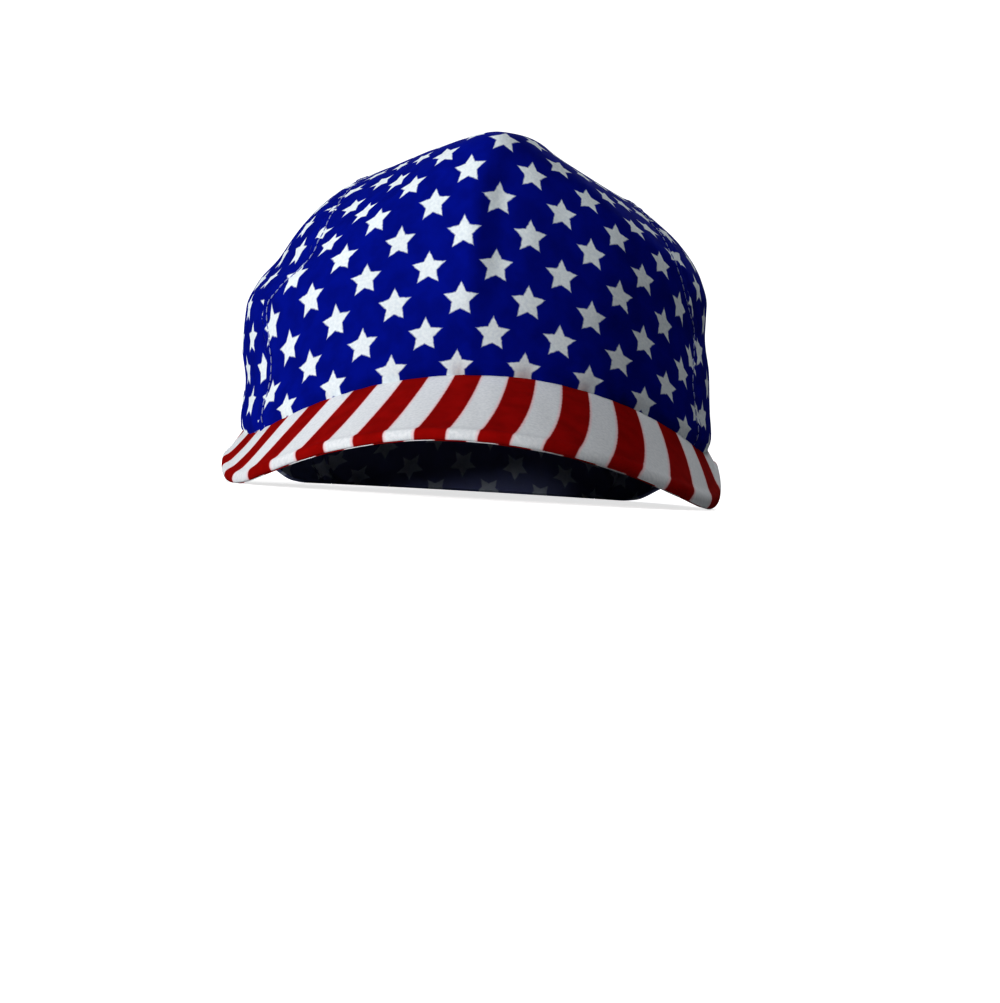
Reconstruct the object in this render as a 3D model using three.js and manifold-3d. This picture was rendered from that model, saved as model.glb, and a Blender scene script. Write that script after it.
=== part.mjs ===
// A soft sewn cotton cap with a short bent peak.
// Millimetres, +Z up. The peak points to -Y. The cap stands by itself on z = 0, on the back of its hem
// and on the two drooping ends of its peak, and the origin is on that plane under the middle of its box.
// The crown is a wide middle panel that runs from the peak over the top to the nape, and two side panels.
// The peak is a top cover and an under cover. Every piece is a closed wall of cloth, with a small gap
// to its neighbours.
import * as THREE from 'three';
import * as BufferGeometryUtils from 'three/addons/utils/BufferGeometryUtils.js';
import Module from 'manifold-3d';

const wasm = await Module();
wasm.setup();

// Cloth and fitting
const CLOTH_WALL = 1.6;
const PIECE_GAP = 0.3;
const SEAM_TUCK = 2.4;

// Crown, as level sections: half widths to each side, front, back, and how square each half is.
const CROWN_SECTIONS = [
  { level: 0, left: 80, right: 80, front: -92, back: 86, frontPower: 2.1, backPower: 2.1 },
  { level: 10, left: 84, right: 84, front: -92.3, back: 91, frontPower: 2.1, backPower: 2.1 },
  { level: 24, left: 84.2, right: 84.4, front: -92.8, back: 94, frontPower: 2.1, backPower: 2.1 },
  { level: 37, left: 83.2, right: 83.6, front: -93.3, back: 95, frontPower: 2.1, backPower: 2.1 },
  { level: 50, left: 85, right: 82.6, front: -93.8, back: 95.3, frontPower: 2.1, backPower: 2.1 },
  { level: 64, left: 84.5, right: 80.6, front: -94, back: 94.2, frontPower: 2.1, backPower: 2.1 },
  { level: 74, left: 81, right: 80.6, front: -93.2, back: 92, frontPower: 2.05, backPower: 2.1 },
  { level: 83, left: 74, right: 78, front: -91.8, back: 88.4, frontPower: 2, backPower: 2.1 },
  { level: 95, left: 66, right: 70, front: -88.9, back: 80.2, frontPower: 1.95, backPower: 2.05 },
  { level: 102, left: 60, right: 62.5, front: -86.6, back: 73.6, frontPower: 1.9, backPower: 2 },
  { level: 108.5, left: 52, right: 53.5, front: -84, back: 65, frontPower: 1.85, backPower: 2 },
  { level: 114, left: 42.5, right: 42, front: -81.5, back: 55.8, frontPower: 1.8, backPower: 2 },
  { level: 118, left: 33.5, right: 32, front: -79, back: 48, frontPower: 1.8, backPower: 2 },
  { level: 122, left: 22.5, right: 23.8, front: -75, back: 38, frontPower: 1.8, backPower: 2 },
  { level: 124.6, left: 13.5, right: 20, front: -68, back: 29, frontPower: 1.85, backPower: 2 },
  { level: 126.2, left: 6, right: 17.2, front: -52, back: 20, frontPower: 1.9, backPower: 2 },
  { level: 127.3, left: 2.5, right: 14.5, front: -30, back: 8, frontPower: 2, backPower: 2 },
];
const CROWN_TOP = 127.3;
// The widest line of each section lies this share of the way from the middle towards the longer end.
const WIDEST_LINE_SHARE = 0.06;
// Level whose section the peak is sewn to.
const RIM_SECTION_LEVEL = 36;

// Folds in the crown, each a bent line across the front view, raised (or sunk) by rise over a soft width.
// They fade towards both ends and where the crown turns to the back.
const CROWN_FOLDS = [
  { from: [-58, 95], bend: [-43, 107], to: [-22, 118], rise: -1.2, width: 9 },
  { from: [63, 96], bend: [50, 106], to: [28, 118], rise: -1, width: 8 },
  { from: [-88, 72], bend: [-73, 78], to: [-60, 80], rise: -2.2, width: 5 },
];
const FOLD_FRONT_REACH = [-20, 5];
const FOLD_END_SHARE = 0.12;

// Crests where the cloth breaks and stands out to the front: a bent line across the front view, how far it
// stands out, and how far its slopes run on the inner and on the outer side.
const CROWN_CRESTS = [
  { line: [[-70, 72], [-50, 83], [-36, 95], [-14, 119]], forward: 6.5, inner: 22, outer: 13 },
  { line: [[72, 80], [46, 94], [35, 104], [15, 123]], forward: 6, inner: 20, outer: 12 },
  { line: [[-8, 62], [-8, 85], [-7.5, 98], [-5, 119]], forward: 5.5, inner: 30, outer: 22 },
  { line: [[1, 70], [1, 90], [1, 100], [2, 124]], forward: -2, inner: 12, outer: 12 },
];
const CREST_OUTWARD_RISE = 0.8;
const CREST_BACK_REACH = [-34, -8];
const CREST_END_SHARE = 0.1;
const CREST_FADE_POWER = 0.7;
const CREST_FALL_POWER = 1.5;
const CREST_SOFTNESS = 1.5;

// Peak: a flat board bent round a cylinder whose axis dips forward, with straight ends beyond the bend.
// s runs across the board and q forward along it. Its outer edge is a half oval, fuller on the left.
// The outer edge leans: its right half hangs lower than its left half by twice the lean.
const PEAK_BEND_RADIUS = 94.4;
const PEAK_BENT_HALF = 88;
const PEAK_DIP = THREE.MathUtils.degToRad(20.2);
const PEAK_AXIS_HEIGHT = -27.7;
const PEAK_AXIS_OFFSET = 1.1;
const PEAK_RAISE = 3.9;
const PEAK_END_ANGLE = 82;
const PEAK_EDGE_LEFT = 112.4;
const PEAK_EDGE_RIGHT = 104.3;
const PEAK_EDGE_START = 13;
const PEAK_EDGE_REACH = 133.6;
const PEAK_EDGE_POWER = 1.86;
const PEAK_LEAN = 3.2;
const PEAK_WALL = 1.2;
const PEAK_ROUNDED_BAND = 0.05;
const PEAK_EDGE_THINNING = 0.5;

// Hem behind the peak: share of its height over the surface where it leaves the peak, by angle from the front.
const HEM_LEAVES_PEAK = 87;
const HEM_HEIGHTS = [
  { angle: HEM_LEAVES_PEAK, share: 1 },
  { angle: 100, share: 0.7 },
  { angle: 112, share: 0.42 },
  { angle: 120, share: 0.2 },
  { angle: 127, share: 0.03 },
  { angle: 133, share: 0 },
  { angle: 180, share: 0 },
];

// Side panel, seen from the side: where its seam runs from the hem up, over the shoulder and down behind.
const SIDE_SEAM = [
  { y: -40, z: -6 },
  { y: -40, z: 26 },
  { y: -44, z: 46 },
  { y: -39, z: 63 },
  { y: -48, z: 78 },
  { y: -43, z: 92 },
  { y: -28, z: 104 },
  { y: 0, z: 111 },
  { y: 30, z: 105 },
  { y: 53, z: 86 },
  { y: 64, z: 58 },
  { y: 68, z: 28 },
  { y: 69, z: -6 },
];
const SEAM_STEPS = 44;
const SIDE_BLOCK_DEPTH = 110;

// Level of the surface that the cap stands on, and the shift that puts the cap over the origin.
const REST_LEVEL = 1.75;
const CENTRE_SHIFT = new THREE.Vector3(1.2, 26.7, -REST_LEVEL);

// Fineness of the walls. The rows of the crown crowd towards its top.
const CROWN_FRONT_STEP = 4;
const CROWN_BACK_STEP = 6;
const CROWN_ROWS = 19;
const CROWN_ROW_CROWDING = 0.95;
const TOP_ROW_FLATNESS = 0.7;
const PEAK_COLUMNS = 40;
const PEAK_ROWS = [0, 0.3, 0.62, 0.88, 1 - PEAK_ROUNDED_BAND, 1];

const STAR_CLOTH = { color: 0x0a1c8c, roughness: 0.85, metalness: 0 };
const STRIPE_CLOTH = { color: 0xa01010, roughness: 0.85, metalness: 0 };

const UP = new THREE.Vector3(0, 0, 1);

// A smooth curve through a column of a table that never overshoots its rows.
function smoothColumn(rows, key, column) {
  const x = rows.map((row) => row[key]);
  const y = rows.map((row) => row[column]);
  const last = x.length - 1;
  const slope = x.slice(1).map((value, i) => (y[i + 1] - y[i]) / (value - x[i]));
  const tangent = x.map((_, i) => {
    if (i === 0) return slope[0];
    if (i === last) return slope[last - 1];
    const before = slope[i - 1];
    const after = slope[i];
    return before * after <= 0 ? 0 : (2 * before * after) / (before + after);
  });
  return (at) => {
    const value = Math.min(Math.max(at, x[0]), x[last]);
    let i = 0;
    while (i < last - 1 && value > x[i + 1]) i += 1;
    const span = x[i + 1] - x[i];
    const t = (value - x[i]) / span;
    const rise = y[i] * (2 * t ** 3 - 3 * t ** 2 + 1) + y[i + 1] * (3 * t ** 2 - 2 * t ** 3);
    return rise + span * (tangent[i] * (t ** 3 - 2 * t ** 2 + t) + tangent[i + 1] * (t ** 3 - t ** 2));
  };
}

const section = {};
for (const column of ['left', 'right', 'front', 'back', 'frontPower', 'backPower']) {
  section[column] = smoothColumn(CROWN_SECTIONS, 'level', column);
}
const hemShare = smoothColumn(HEM_HEIGHTS, 'angle', 'share');

// Point of the crown's outer surface at an angle from the front (degrees, + to the right) and a level.
function crownPoint(angle, level) {
  const turn = THREE.MathUtils.degToRad(angle);
  const across = Math.sin(turn);
  const along = Math.cos(turn);
  const front = section.front(level);
  const back = section.back(level);
  const middle = WIDEST_LINE_SHARE * (front + back);
  const power = along > 0 ? section.frontPower(level) : section.backPower(level);
  const halfWidth = across > 0 ? section.right(level) : section.left(level);
  const reach = along > 0 ? front : back;
  const x = halfWidth * Math.sign(across) * Math.abs(across) ** (2 / power);
  const y = middle + (reach - middle) * Math.abs(along) ** (2 / power);
  return new THREE.Vector3(x, y, level);
}

// Distance in the front view from a point to a fold's bent line, and how far along the line it is.
function foldCloseness(x, z, fold) {
  const corners = [fold.from, fold.bend, fold.to].map(([a, b]) => new THREE.Vector2(a, b));
  const here = new THREE.Vector2(x, z);
  const lengths = [corners[0].distanceTo(corners[1]), corners[1].distanceTo(corners[2])];
  const total = lengths[0] + lengths[1];
  let best = { distance: Infinity, along: 0 };
  for (let i = 0; i < 2; i += 1) {
    const run = corners[i + 1].clone().sub(corners[i]);
    const t = THREE.MathUtils.clamp(here.clone().sub(corners[i]).dot(run) / run.lengthSq(), 0, 1);
    const distance = corners[i].clone().addScaledVector(run, t).distanceTo(here);
    const along = (t * lengths[i] + (i === 1 ? lengths[0] : 0)) / total;
    if (distance < best.distance) best = { distance, along };
  }
  return best;
}

// How far the cloth stands out of (or sinks into) the plain crown at a point.
function foldRise(point) {
  const frontShare = 1 - THREE.MathUtils.smoothstep(point.y, ...FOLD_FRONT_REACH);
  let rise = 0;
  for (const fold of CROWN_FOLDS) {
    const { distance, along } = foldCloseness(point.x, point.z, fold);
    const fade = Math.sin(Math.PI * THREE.MathUtils.lerp(FOLD_END_SHARE, 1 - FOLD_END_SHARE, along));
    rise += fold.rise * fade * Math.exp(-((distance / fold.width) ** 2));
  }
  return rise * frontShare;
}

// How far beyond a crest's line a point lies in the front view, + on its outer side, and how far along it.
function crestPlace(x, z, line) {
  const corners = line.map(([a, b]) => new THREE.Vector2(a, b));
  const here = new THREE.Vector2(x, z);
  const sideways = Math.sign(line[0][0]) * Math.sqrt(1 - CREST_OUTWARD_RISE ** 2);
  const outward = new THREE.Vector2(sideways, CREST_OUTWARD_RISE);
  const lengths = corners.slice(1).map((corner, i) => corner.distanceTo(corners[i]));
  const total = lengths.reduce((sum, length) => sum + length);
  let best = { distance: Infinity, along: 0, side: 1 };
  let start = 0;
  for (let i = 0; i < lengths.length; i += 1) {
    const run = corners[i + 1].clone().sub(corners[i]);
    const off = here.clone().sub(corners[i]);
    const t = THREE.MathUtils.clamp(off.dot(run) / run.lengthSq(), 0, 1);
    const across = new THREE.Vector2(-run.y, run.x);
    const side = Math.sign(off.dot(across)) * Math.sign(across.dot(outward));
    const distance = off.addScaledVector(run, -t).length();
    if (distance < best.distance) best = { distance, along: (start + t * lengths[i]) / total, side };
    start += lengths[i];
  }
  return { beyond: best.distance * best.side, along: best.along };
}

// How far the crests carry the cloth to the front at a point.
function crestForward(point) {
  const frontShare = 1 - THREE.MathUtils.smoothstep(point.y, ...CREST_BACK_REACH);
  let forward = 0;
  for (const crest of CROWN_CRESTS) {
    const { beyond, along } = crestPlace(point.x, point.z, crest.line);
    const arc = Math.PI * THREE.MathUtils.lerp(CREST_END_SHARE, 1 - CREST_END_SHARE, along);
    const fade = Math.sin(arc) ** CREST_FADE_POWER;
    const places = [beyond - CREST_SOFTNESS, beyond, beyond + CREST_SOFTNESS];
    for (const place of places) {
      const share = place < 0 ? 1 + place / crest.inner : 1 - place / crest.outer;
      forward += (crest.forward * fade * Math.max(share, 0) ** CREST_FALL_POWER) / places.length;
    }
  }
  return forward * frontShare;
}

// Section of the bent board: how far across and how high above the cylinder's axis a point at s lies.
function boardSection(s, lift) {
  const bend = Math.min(Math.abs(s), PEAK_BENT_HALF) / PEAK_BEND_RADIUS;
  const straight = Math.max(Math.abs(s) - PEAK_BENT_HALF, 0);
  const across = (PEAK_BEND_RADIUS + lift) * Math.sin(bend) + straight * Math.cos(bend);
  const height = (PEAK_BEND_RADIUS + lift) * Math.cos(bend) - straight * Math.sin(bend);
  return { across: Math.sign(s) * across, height };
}

// The s of the board's point that lies at x.
function boardAcross(x, lift) {
  const across = Math.abs(x - PEAK_AXIS_OFFSET);
  const bend = PEAK_BENT_HALF / PEAK_BEND_RADIUS;
  const bentReach = (PEAK_BEND_RADIUS + lift) * Math.sin(bend);
  const s = across <= bentReach
    ? PEAK_BEND_RADIUS * Math.asin(across / (PEAK_BEND_RADIUS + lift))
    : PEAK_BENT_HALF + (across - bentReach) / Math.cos(bend);
  return Math.sign(x - PEAK_AXIS_OFFSET) * s;
}

// Point of the bent board, lifted off its middle surface.
function boardPoint(s, q, lift) {
  const { across, height } = boardSection(s, lift);
  const up = PEAK_AXIS_HEIGHT + height;
  const y = -Math.sin(PEAK_DIP) * up - Math.cos(PEAK_DIP) * q;
  const z = PEAK_RAISE + Math.cos(PEAK_DIP) * up - Math.sin(PEAK_DIP) * q;
  return new THREE.Vector3(PEAK_AXIS_OFFSET + across, y, z);
}

// Height of the board's surface over a point of the plan.
function boardHeight(x, y, lift) {
  const up = PEAK_AXIS_HEIGHT + boardSection(boardAcross(x, lift), lift).height;
  return PEAK_RAISE + (up + y * Math.sin(PEAK_DIP)) / Math.cos(PEAK_DIP);
}

// Place on the flat board of the board's point that lies at x and y.
function boardPlace(x, y) {
  const s = boardAcross(x, 0);
  const up = PEAK_AXIS_HEIGHT + boardSection(s, 0).height;
  return new THREE.Vector2(s, -(y + up * Math.sin(PEAK_DIP)) / Math.cos(PEAK_DIP));
}

// Place on the flat board of the peak's outer edge, at a turn from straight ahead.
function peakEdge(turn) {
  const halfWidth = turn > 0 ? PEAK_EDGE_RIGHT : PEAK_EDGE_LEFT;
  const across = Math.abs(Math.sin(turn)) ** (2 / PEAK_EDGE_POWER);
  const forward = Math.max(Math.cos(turn), 0) ** (2 / PEAK_EDGE_POWER);
  return new THREE.Vector2(
    halfWidth * Math.sign(turn) * across,
    PEAK_EDGE_START + (PEAK_EDGE_REACH - PEAK_EDGE_START) * forward,
  );
}

const PEAK_NEAR_LIFT = PIECE_GAP / 2;
const PEAK_FAR_LIFT = PEAK_NEAR_LIFT + PEAK_WALL;
const hemStart = crownPoint(HEM_LEAVES_PEAK, RIM_SECTION_LEVEL);
const hemStartHeight = boardHeight(hemStart.x, hemStart.y, PEAK_FAR_LIFT) + PIECE_GAP;

// Height of the crown's lower edge: it sits on the peak in front and falls to the ground behind.
function hemHeight(angle, x, y) {
  const turn = Math.abs(angle);
  if (turn < HEM_LEAVES_PEAK) return boardHeight(x, y, PEAK_FAR_LIFT) + PIECE_GAP;
  return REST_LEVEL + (hemStartHeight - REST_LEVEL) * hemShare(turn);
}

// Closed solid between two grids of points, with columns i and rows j. It can be round in i, and closed
// above its last row.
function wallGeometry(outer, inner, roundInI, capped) {
  const columns = outer.length;
  const rows = outer[0].length;
  const positions = [];
  for (const point of [outer, inner].flat(2)) positions.push(point.x, point.y, point.z);
  const sheet = columns * rows;
  const at = (i, j) => (i % columns) * rows + j;
  const triangles = [];
  const quad = (a, b, c, d) => triangles.push(a, b, c, a, c, d);
  const steps = roundInI ? columns : columns - 1;
  for (let i = 0; i < steps; i += 1) {
    for (let j = 0; j < rows - 1; j += 1) {
      quad(at(i, j), at(i + 1, j), at(i + 1, j + 1), at(i, j + 1));
      quad(sheet + at(i, j), sheet + at(i, j + 1), sheet + at(i + 1, j + 1), sheet + at(i + 1, j));
    }
    quad(at(i, 0), sheet + at(i, 0), sheet + at(i + 1, 0), at(i + 1, 0));
    if (!capped) {
      const j = rows - 1;
      quad(at(i, j), at(i + 1, j), sheet + at(i + 1, j), sheet + at(i, j));
    }
  }
  if (capped) {
    for (const [grid, offset, flip] of [[outer, 0, false], [inner, sheet, true]]) {
      const centre = new THREE.Vector3();
      for (const column of grid) centre.addScaledVector(column[rows - 1], 1 / columns);
      const hub = positions.length / 3;
      positions.push(centre.x, centre.y, centre.z);
      for (let i = 0; i < columns; i += 1) {
        const pair = [offset + at(i, rows - 1), offset + at(i + 1, rows - 1)];
        triangles.push(...(flip ? [pair[1], pair[0], hub] : [pair[0], pair[1], hub]));
      }
    }
  }
  if (!roundInI) {
    for (let j = 0; j < rows - 1; j += 1) {
      const i = columns - 1;
      quad(at(0, j), at(0, j + 1), sheet + at(0, j + 1), sheet + at(0, j));
      quad(at(i, j), sheet + at(i, j), sheet + at(i, j + 1), at(i, j + 1));
    }
  }
  const geometry = new THREE.BufferGeometry();
  geometry.setAttribute('position', new THREE.Float32BufferAttribute(positions, 3));
  geometry.setIndex(triangles);
  return geometry;
}

// The whole crown as one wall: a round grid of angles and rows, closed at the top.
function crownWall() {
  const angles = [];
  for (let angle = -90; angle < 90; angle += CROWN_FRONT_STEP) angles.push(angle);
  for (let angle = 90; angle < 270; angle += CROWN_BACK_STEP) angles.push(angle);
  const base = angles.map((raw) => {
    const angle = raw > 180 ? raw - 360 : raw;
    const foot = crownPoint(angle, RIM_SECTION_LEVEL);
    const start = hemHeight(angle, foot.x, foot.y);
    const column = [];
    for (let j = 0; j < CROWN_ROWS; j += 1) {
      const share = Math.sin((j / (CROWN_ROWS - 1)) * (Math.PI / 2)) ** CROWN_ROW_CROWDING;
      column.push(crownPoint(angle, start + (CROWN_TOP - start) * share));
    }
    return column;
  });
  const count = base.length;
  const top = CROWN_ROWS - 1;
  const outer = [];
  const inner = [];
  for (let i = 0; i < count; i += 1) {
    const angle = angles[i] > 180 ? angles[i] - 360 : angles[i];
    outer.push([]);
    inner.push([]);
    for (let j = 0; j < CROWN_ROWS; j += 1) {
      const before = base[(i + count - 1) % count];
      const after = base[(i + 1) % count];
      const across = after[j].clone().sub(before[j]);
      const upward = base[i][Math.min(j + 1, top)].clone().sub(base[i][Math.max(j - 1, 0)]);
      const normal = across.cross(upward).normalize();
      if (j === top) normal.lerp(UP, TOP_ROW_FLATNESS).normalize();
      const rise = foldRise(base[i][j]);
      const skin = base[i][j].clone().addScaledVector(normal, rise);
      skin.y -= crestForward(base[i][j]);
      const lining = skin.clone().addScaledVector(normal, -CLOTH_WALL);
      if (j === 0) {
        for (const p of [skin, lining]) p.z = hemHeight(angle, p.x, p.y);
      }
      outer[i].push(skin);
      inner[i].push(lining);
    }
  }
  return wallGeometry(outer, inner, true, true);
}

// One cover of the peak, between two lifts off the board, thinner where its outer edge is rounded.
function peakCover(lowLift, highLift) {
  const isTop = highLift > 0;
  const top = [];
  const under = [];
  for (let i = 0; i <= PEAK_COLUMNS; i += 1) {
    const angle = PEAK_END_ANGLE * ((2 * i) / PEAK_COLUMNS - 1);
    const foot = crownPoint(angle, RIM_SECTION_LEVEL);
    const seam = boardPlace(foot.x, foot.y);
    const turn = (angle / PEAK_END_ANGLE) * (Math.PI / 2);
    const edge = peakEdge(turn);
    const tuck = seam.clone().sub(edge).setLength(SEAM_TUCK);
    const start = seam.clone().add(tuck);
    top.push([]);
    under.push([]);
    for (const share of PEAK_ROWS) {
      const { x: s, y: q } = start.clone().lerp(edge, share);
      const thin = share === 1 ? PEAK_EDGE_THINNING : 1;
      const high = boardPoint(s, q, isTop ? THREE.MathUtils.lerp(lowLift, highLift, thin) : highLift);
      const low = boardPoint(s, q, isTop ? lowLift : THREE.MathUtils.lerp(highLift, lowLift, thin));
      const lean = PEAK_LEAN * Math.sin(2 * turn) * share ** 2;
      high.z -= lean;
      low.z -= lean;
      top[i].push(high);
      under[i].push(low);
    }
  }
  return wallGeometry(under, top, false, false);
}

// Closed mesh as a solid, and back.
function toSolid(geometry) {
  const bare = geometry.clone();
  bare.deleteAttribute('normal');
  bare.deleteAttribute('uv');
  const merged = BufferGeometryUtils.mergeVertices(bare, 1e-4);
  const vertProperties = new Float32Array(merged.attributes.position.array);
  const triVerts = new Uint32Array(merged.index.array);
  return new wasm.Manifold(new wasm.Mesh({ numProp: 3, vertProperties, triVerts }));
}

function toGeometry(solid) {
  const mesh = solid.getMesh();
  const geometry = new THREE.BufferGeometry();
  const positions = [];
  for (let i = 0; i < mesh.numVert; i += 1) {
    positions.push(...mesh.vertProperties.slice(i * mesh.numProp, i * mesh.numProp + 3));
  }
  geometry.setAttribute('position', new THREE.Float32BufferAttribute(positions, 3));
  geometry.setIndex([...mesh.triVerts]);
  return geometry;
}

// Block that covers one side panel: the seam's outline, drawn in the side view, pushed out sideways.
function sideBlock(side, spread) {
  const corners = SIDE_SEAM.map((row) => new THREE.Vector2(row.y, row.z));
  const seam = new THREE.SplineCurve(corners).getSpacedPoints(SEAM_STEPS);
  const grown = seam.map((point, i) => {
    const before = seam[Math.max(i - 1, 0)];
    const after = seam[Math.min(i + 1, SEAM_STEPS)];
    const run = after.clone().sub(before).normalize();
    return point.clone().add(new THREE.Vector2(-run.y, run.x).multiplyScalar(spread));
  });
  const shape = new THREE.Shape(grown);
  const geometry = new THREE.ExtrudeGeometry(shape, { depth: SIDE_BLOCK_DEPTH, bevelEnabled: false });
  geometry.applyMatrix4(new THREE.Matrix4().makeBasis(
    new THREE.Vector3(0, 1, 0),
    UP,
    new THREE.Vector3(1, 0, 0),
  ));
  if (side < 0) geometry.translate(-SIDE_BLOCK_DEPTH, 0, 0);
  return toSolid(geometry);
}

function addPiece(parent, name, geometry, finish) {
  const mesh = new THREE.Mesh(geometry, new THREE.MeshStandardMaterial(finish));
  mesh.name = name;
  parent.add(mesh);
}

const cap = new THREE.Group();
cap.position.copy(CENTRE_SHIFT);
const crown = toSolid(crownWall());
let middle = crown;
for (const [name, side] of [['left_side_panel', -1], ['right_side_panel', 1]]) {
  addPiece(cap, name, toGeometry(crown.intersect(sideBlock(side, 0))), STAR_CLOTH);
  middle = middle.subtract(sideBlock(side, PIECE_GAP));
}
addPiece(cap, 'middle_panel', toGeometry(middle), STAR_CLOTH);
addPiece(cap, 'peak_top', peakCover(PEAK_NEAR_LIFT, PEAK_FAR_LIFT), STRIPE_CLOTH);
addPiece(cap, 'peak_under', peakCover(-PEAK_FAR_LIFT, -PEAK_NEAR_LIFT), STRIPE_CLOTH);

export default cap;
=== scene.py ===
"""Soft sewn cotton cap with a short bent peak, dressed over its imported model.

Lengths inside the shape functions are millimetres, with x to the right seen from in front, y to the back
and z up. Meshes are made in metres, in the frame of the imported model.
"""

import math

import bmesh
import bpy
import numpy as np
from bpy.props import FloatProperty, FloatVectorProperty, PointerProperty
from mathutils import Matrix, Vector, noise


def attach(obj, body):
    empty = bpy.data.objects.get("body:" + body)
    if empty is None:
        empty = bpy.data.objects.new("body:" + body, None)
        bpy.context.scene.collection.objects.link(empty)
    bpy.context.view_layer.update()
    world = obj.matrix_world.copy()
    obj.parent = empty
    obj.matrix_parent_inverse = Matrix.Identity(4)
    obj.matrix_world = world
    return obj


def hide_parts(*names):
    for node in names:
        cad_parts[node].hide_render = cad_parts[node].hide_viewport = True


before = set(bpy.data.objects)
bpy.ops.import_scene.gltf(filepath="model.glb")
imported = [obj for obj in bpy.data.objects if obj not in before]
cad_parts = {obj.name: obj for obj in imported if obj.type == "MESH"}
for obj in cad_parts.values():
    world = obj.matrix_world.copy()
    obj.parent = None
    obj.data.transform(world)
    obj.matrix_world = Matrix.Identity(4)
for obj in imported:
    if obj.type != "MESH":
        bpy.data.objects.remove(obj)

bl_info = {
    "name": "Soft cotton cap",
    "version": (1, 0, 0),
    "blender": (4, 5, 0),
    "location": "View3D > Sidebar > Cap",
    "description": "Sewn cotton cap with printed crown panels and a short bent peak",
    "category": "Object",
}

# One millimetre in metres, the level that the cap rests on, and the way to the middle of its box.
MM = 0.001
REST_LEVEL = 1.75
CENTRE_SHIFT = np.array([1.2, 26.7, -REST_LEVEL])

# Crown, as level sections: half widths to each side, front, back, and how square each half is.
CROWN_COLUMNS = ("level", "left", "right", "front", "back", "front_power", "back_power")
CROWN_SECTIONS = (
    (0, 80, 80, -92, 86, 2.1, 2.1),
    (10, 84, 84, -92.3, 91, 2.1, 2.1),
    (24, 84.2, 84.4, -92.8, 94, 2.1, 2.1),
    (37, 83.2, 83.6, -93.3, 95, 2.1, 2.1),
    (50, 85, 82.6, -93.8, 95.3, 2.1, 2.1),
    (64, 84.5, 80.6, -94, 94.2, 2.1, 2.1),
    (74, 81, 80.6, -93.2, 92, 2.05, 2.1),
    (83, 74, 78, -91.8, 88.4, 2, 2.1),
    (95, 66, 70, -88.9, 80.2, 1.95, 2.05),
    (102, 60, 62.5, -86.6, 73.6, 1.9, 2),
    (108.5, 52, 53.5, -84, 65, 1.85, 2),
    (114, 42.5, 42, -81.5, 55.8, 1.8, 2),
    (118, 33.5, 32, -79, 48, 1.8, 2),
    (122, 22.5, 23.8, -75, 38, 1.8, 2),
    (124.6, 13.5, 20, -68, 29, 1.85, 2),
    (126.2, 6, 17.2, -52, 20, 1.9, 2),
    (127.3, 2.5, 14.5, -30, 8, 2, 2),
)
CROWN_TOP = 127.3

# The widest line of each section lies this share of the way from the middle towards the longer end, and the
# peak is sewn to the section at this level.
WIDEST_LINE_SHARE = 0.06
RIM_SECTION_LEVEL = 36

# Folds in the crown: a bent line across the front view, how far it stands out, and its soft width.
CROWN_FOLDS = (
    {"from": (-58, 95), "bend": (-43, 107), "to": (-22, 118), "rise": -1.2, "width": 9},
    {"from": (63, 96), "bend": (50, 106), "to": (28, 118), "rise": -1.0, "width": 8},
    {"from": (-88, 72), "bend": (-73, 78), "to": (-60, 80), "rise": -2.2, "width": 5},
)
FOLD_FRONT_REACH = (-20, 5)
FOLD_END_SHARE = 0.12

# Crests that stand out to the front where the cloth breaks: bent lines across the front view, how far each
# stands out, how far it falls off to the inner and to the outer side, and the cloth that lies beyond it.
CREST_COLUMNS = ("line", "forward", "inner", "outer", "spare")
CROWN_CRESTS = (
    (((-70, 72), (-50, 83), (-36, 95), (-14, 119)), 6.5, 22, 13, 14),
    (((72, 80), (46, 94), (35, 104), (15, 123)), 6.0, 20, 12, 12),
    (((-8, 62), (-8, 85), (-7.5, 98), (-5, 119)), 5.5, 30, 22, 0),
    (((1, 70), (1, 90), (1, 100), (2, 124)), -2.0, 12, 12, 0),
)
CREST_OUTWARD_RISE = 0.8
CREST_BACK_REACH = (-34, -8)
CREST_END_SHARE = 0.1
CREST_FADE_POWER = 0.7
CREST_FALL_POWER = 1.5
CREST_SOFTNESS = 1.5
SPARE_BACK_REACH = (-30, 85)
SPARE_END_SHARE = 0.3

# Peak: a flat board bent round a cylinder whose axis dips forward.
PEAK_BEND_RADIUS = 94.4
PEAK_BENT_HALF = 88
PEAK_DIP = math.radians(20.2)
PEAK_AXIS_HEIGHT = -27.7
PEAK_AXIS_OFFSET = 1.1
PEAK_RAISE = 3.9
PEAK_END_ANGLE = 82
PEAK_EDGE_LEFT = 112.4
PEAK_EDGE_RIGHT = 104.3
PEAK_EDGE_START = 13
PEAK_EDGE_REACH = 133.6
PEAK_EDGE_POWER = 1.86
PEAK_LEAN = 3.2
PEAK_FACE_LIFT = 1.35
PEAK_INNER_LIFT = 0.15
SEAM_TUCK = 2.4
PIECE_GAP = 0.3

# Where the covers turn round the edge: inwards from the outer edge and off the board's middle. The turn
# takes at most a share of the peak's depth, which counts near both ends.
TOP_TURN = (
    (7.0, 1.35), (5.6, 1.5), (4.4, 1.75), (3.4, 1.85), (2.5, 1.72), (1.7, 1.4), (1.0, 0.95), (0.5, 0.45),
    (0.18, -0.05), (0.0, -0.5), (0.08, -0.8), (0.4, -0.95), (1.0, -0.8), (1.1, -0.4), (1.5, 0.0),
    (7.0, 0.15),
)
UNDER_TURN = (
    (3.2, -0.15), (1.7, -0.2), (1.3, -0.5), (1.15, -0.85), (0.55, -0.95), (0.15, -1.0),
    (0.02, -1.15), (0.2, -1.3), (0.9, -1.38), (1.9, -1.4), (3.2, -1.4),
)
TURN_SHARE = 0.6

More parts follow.
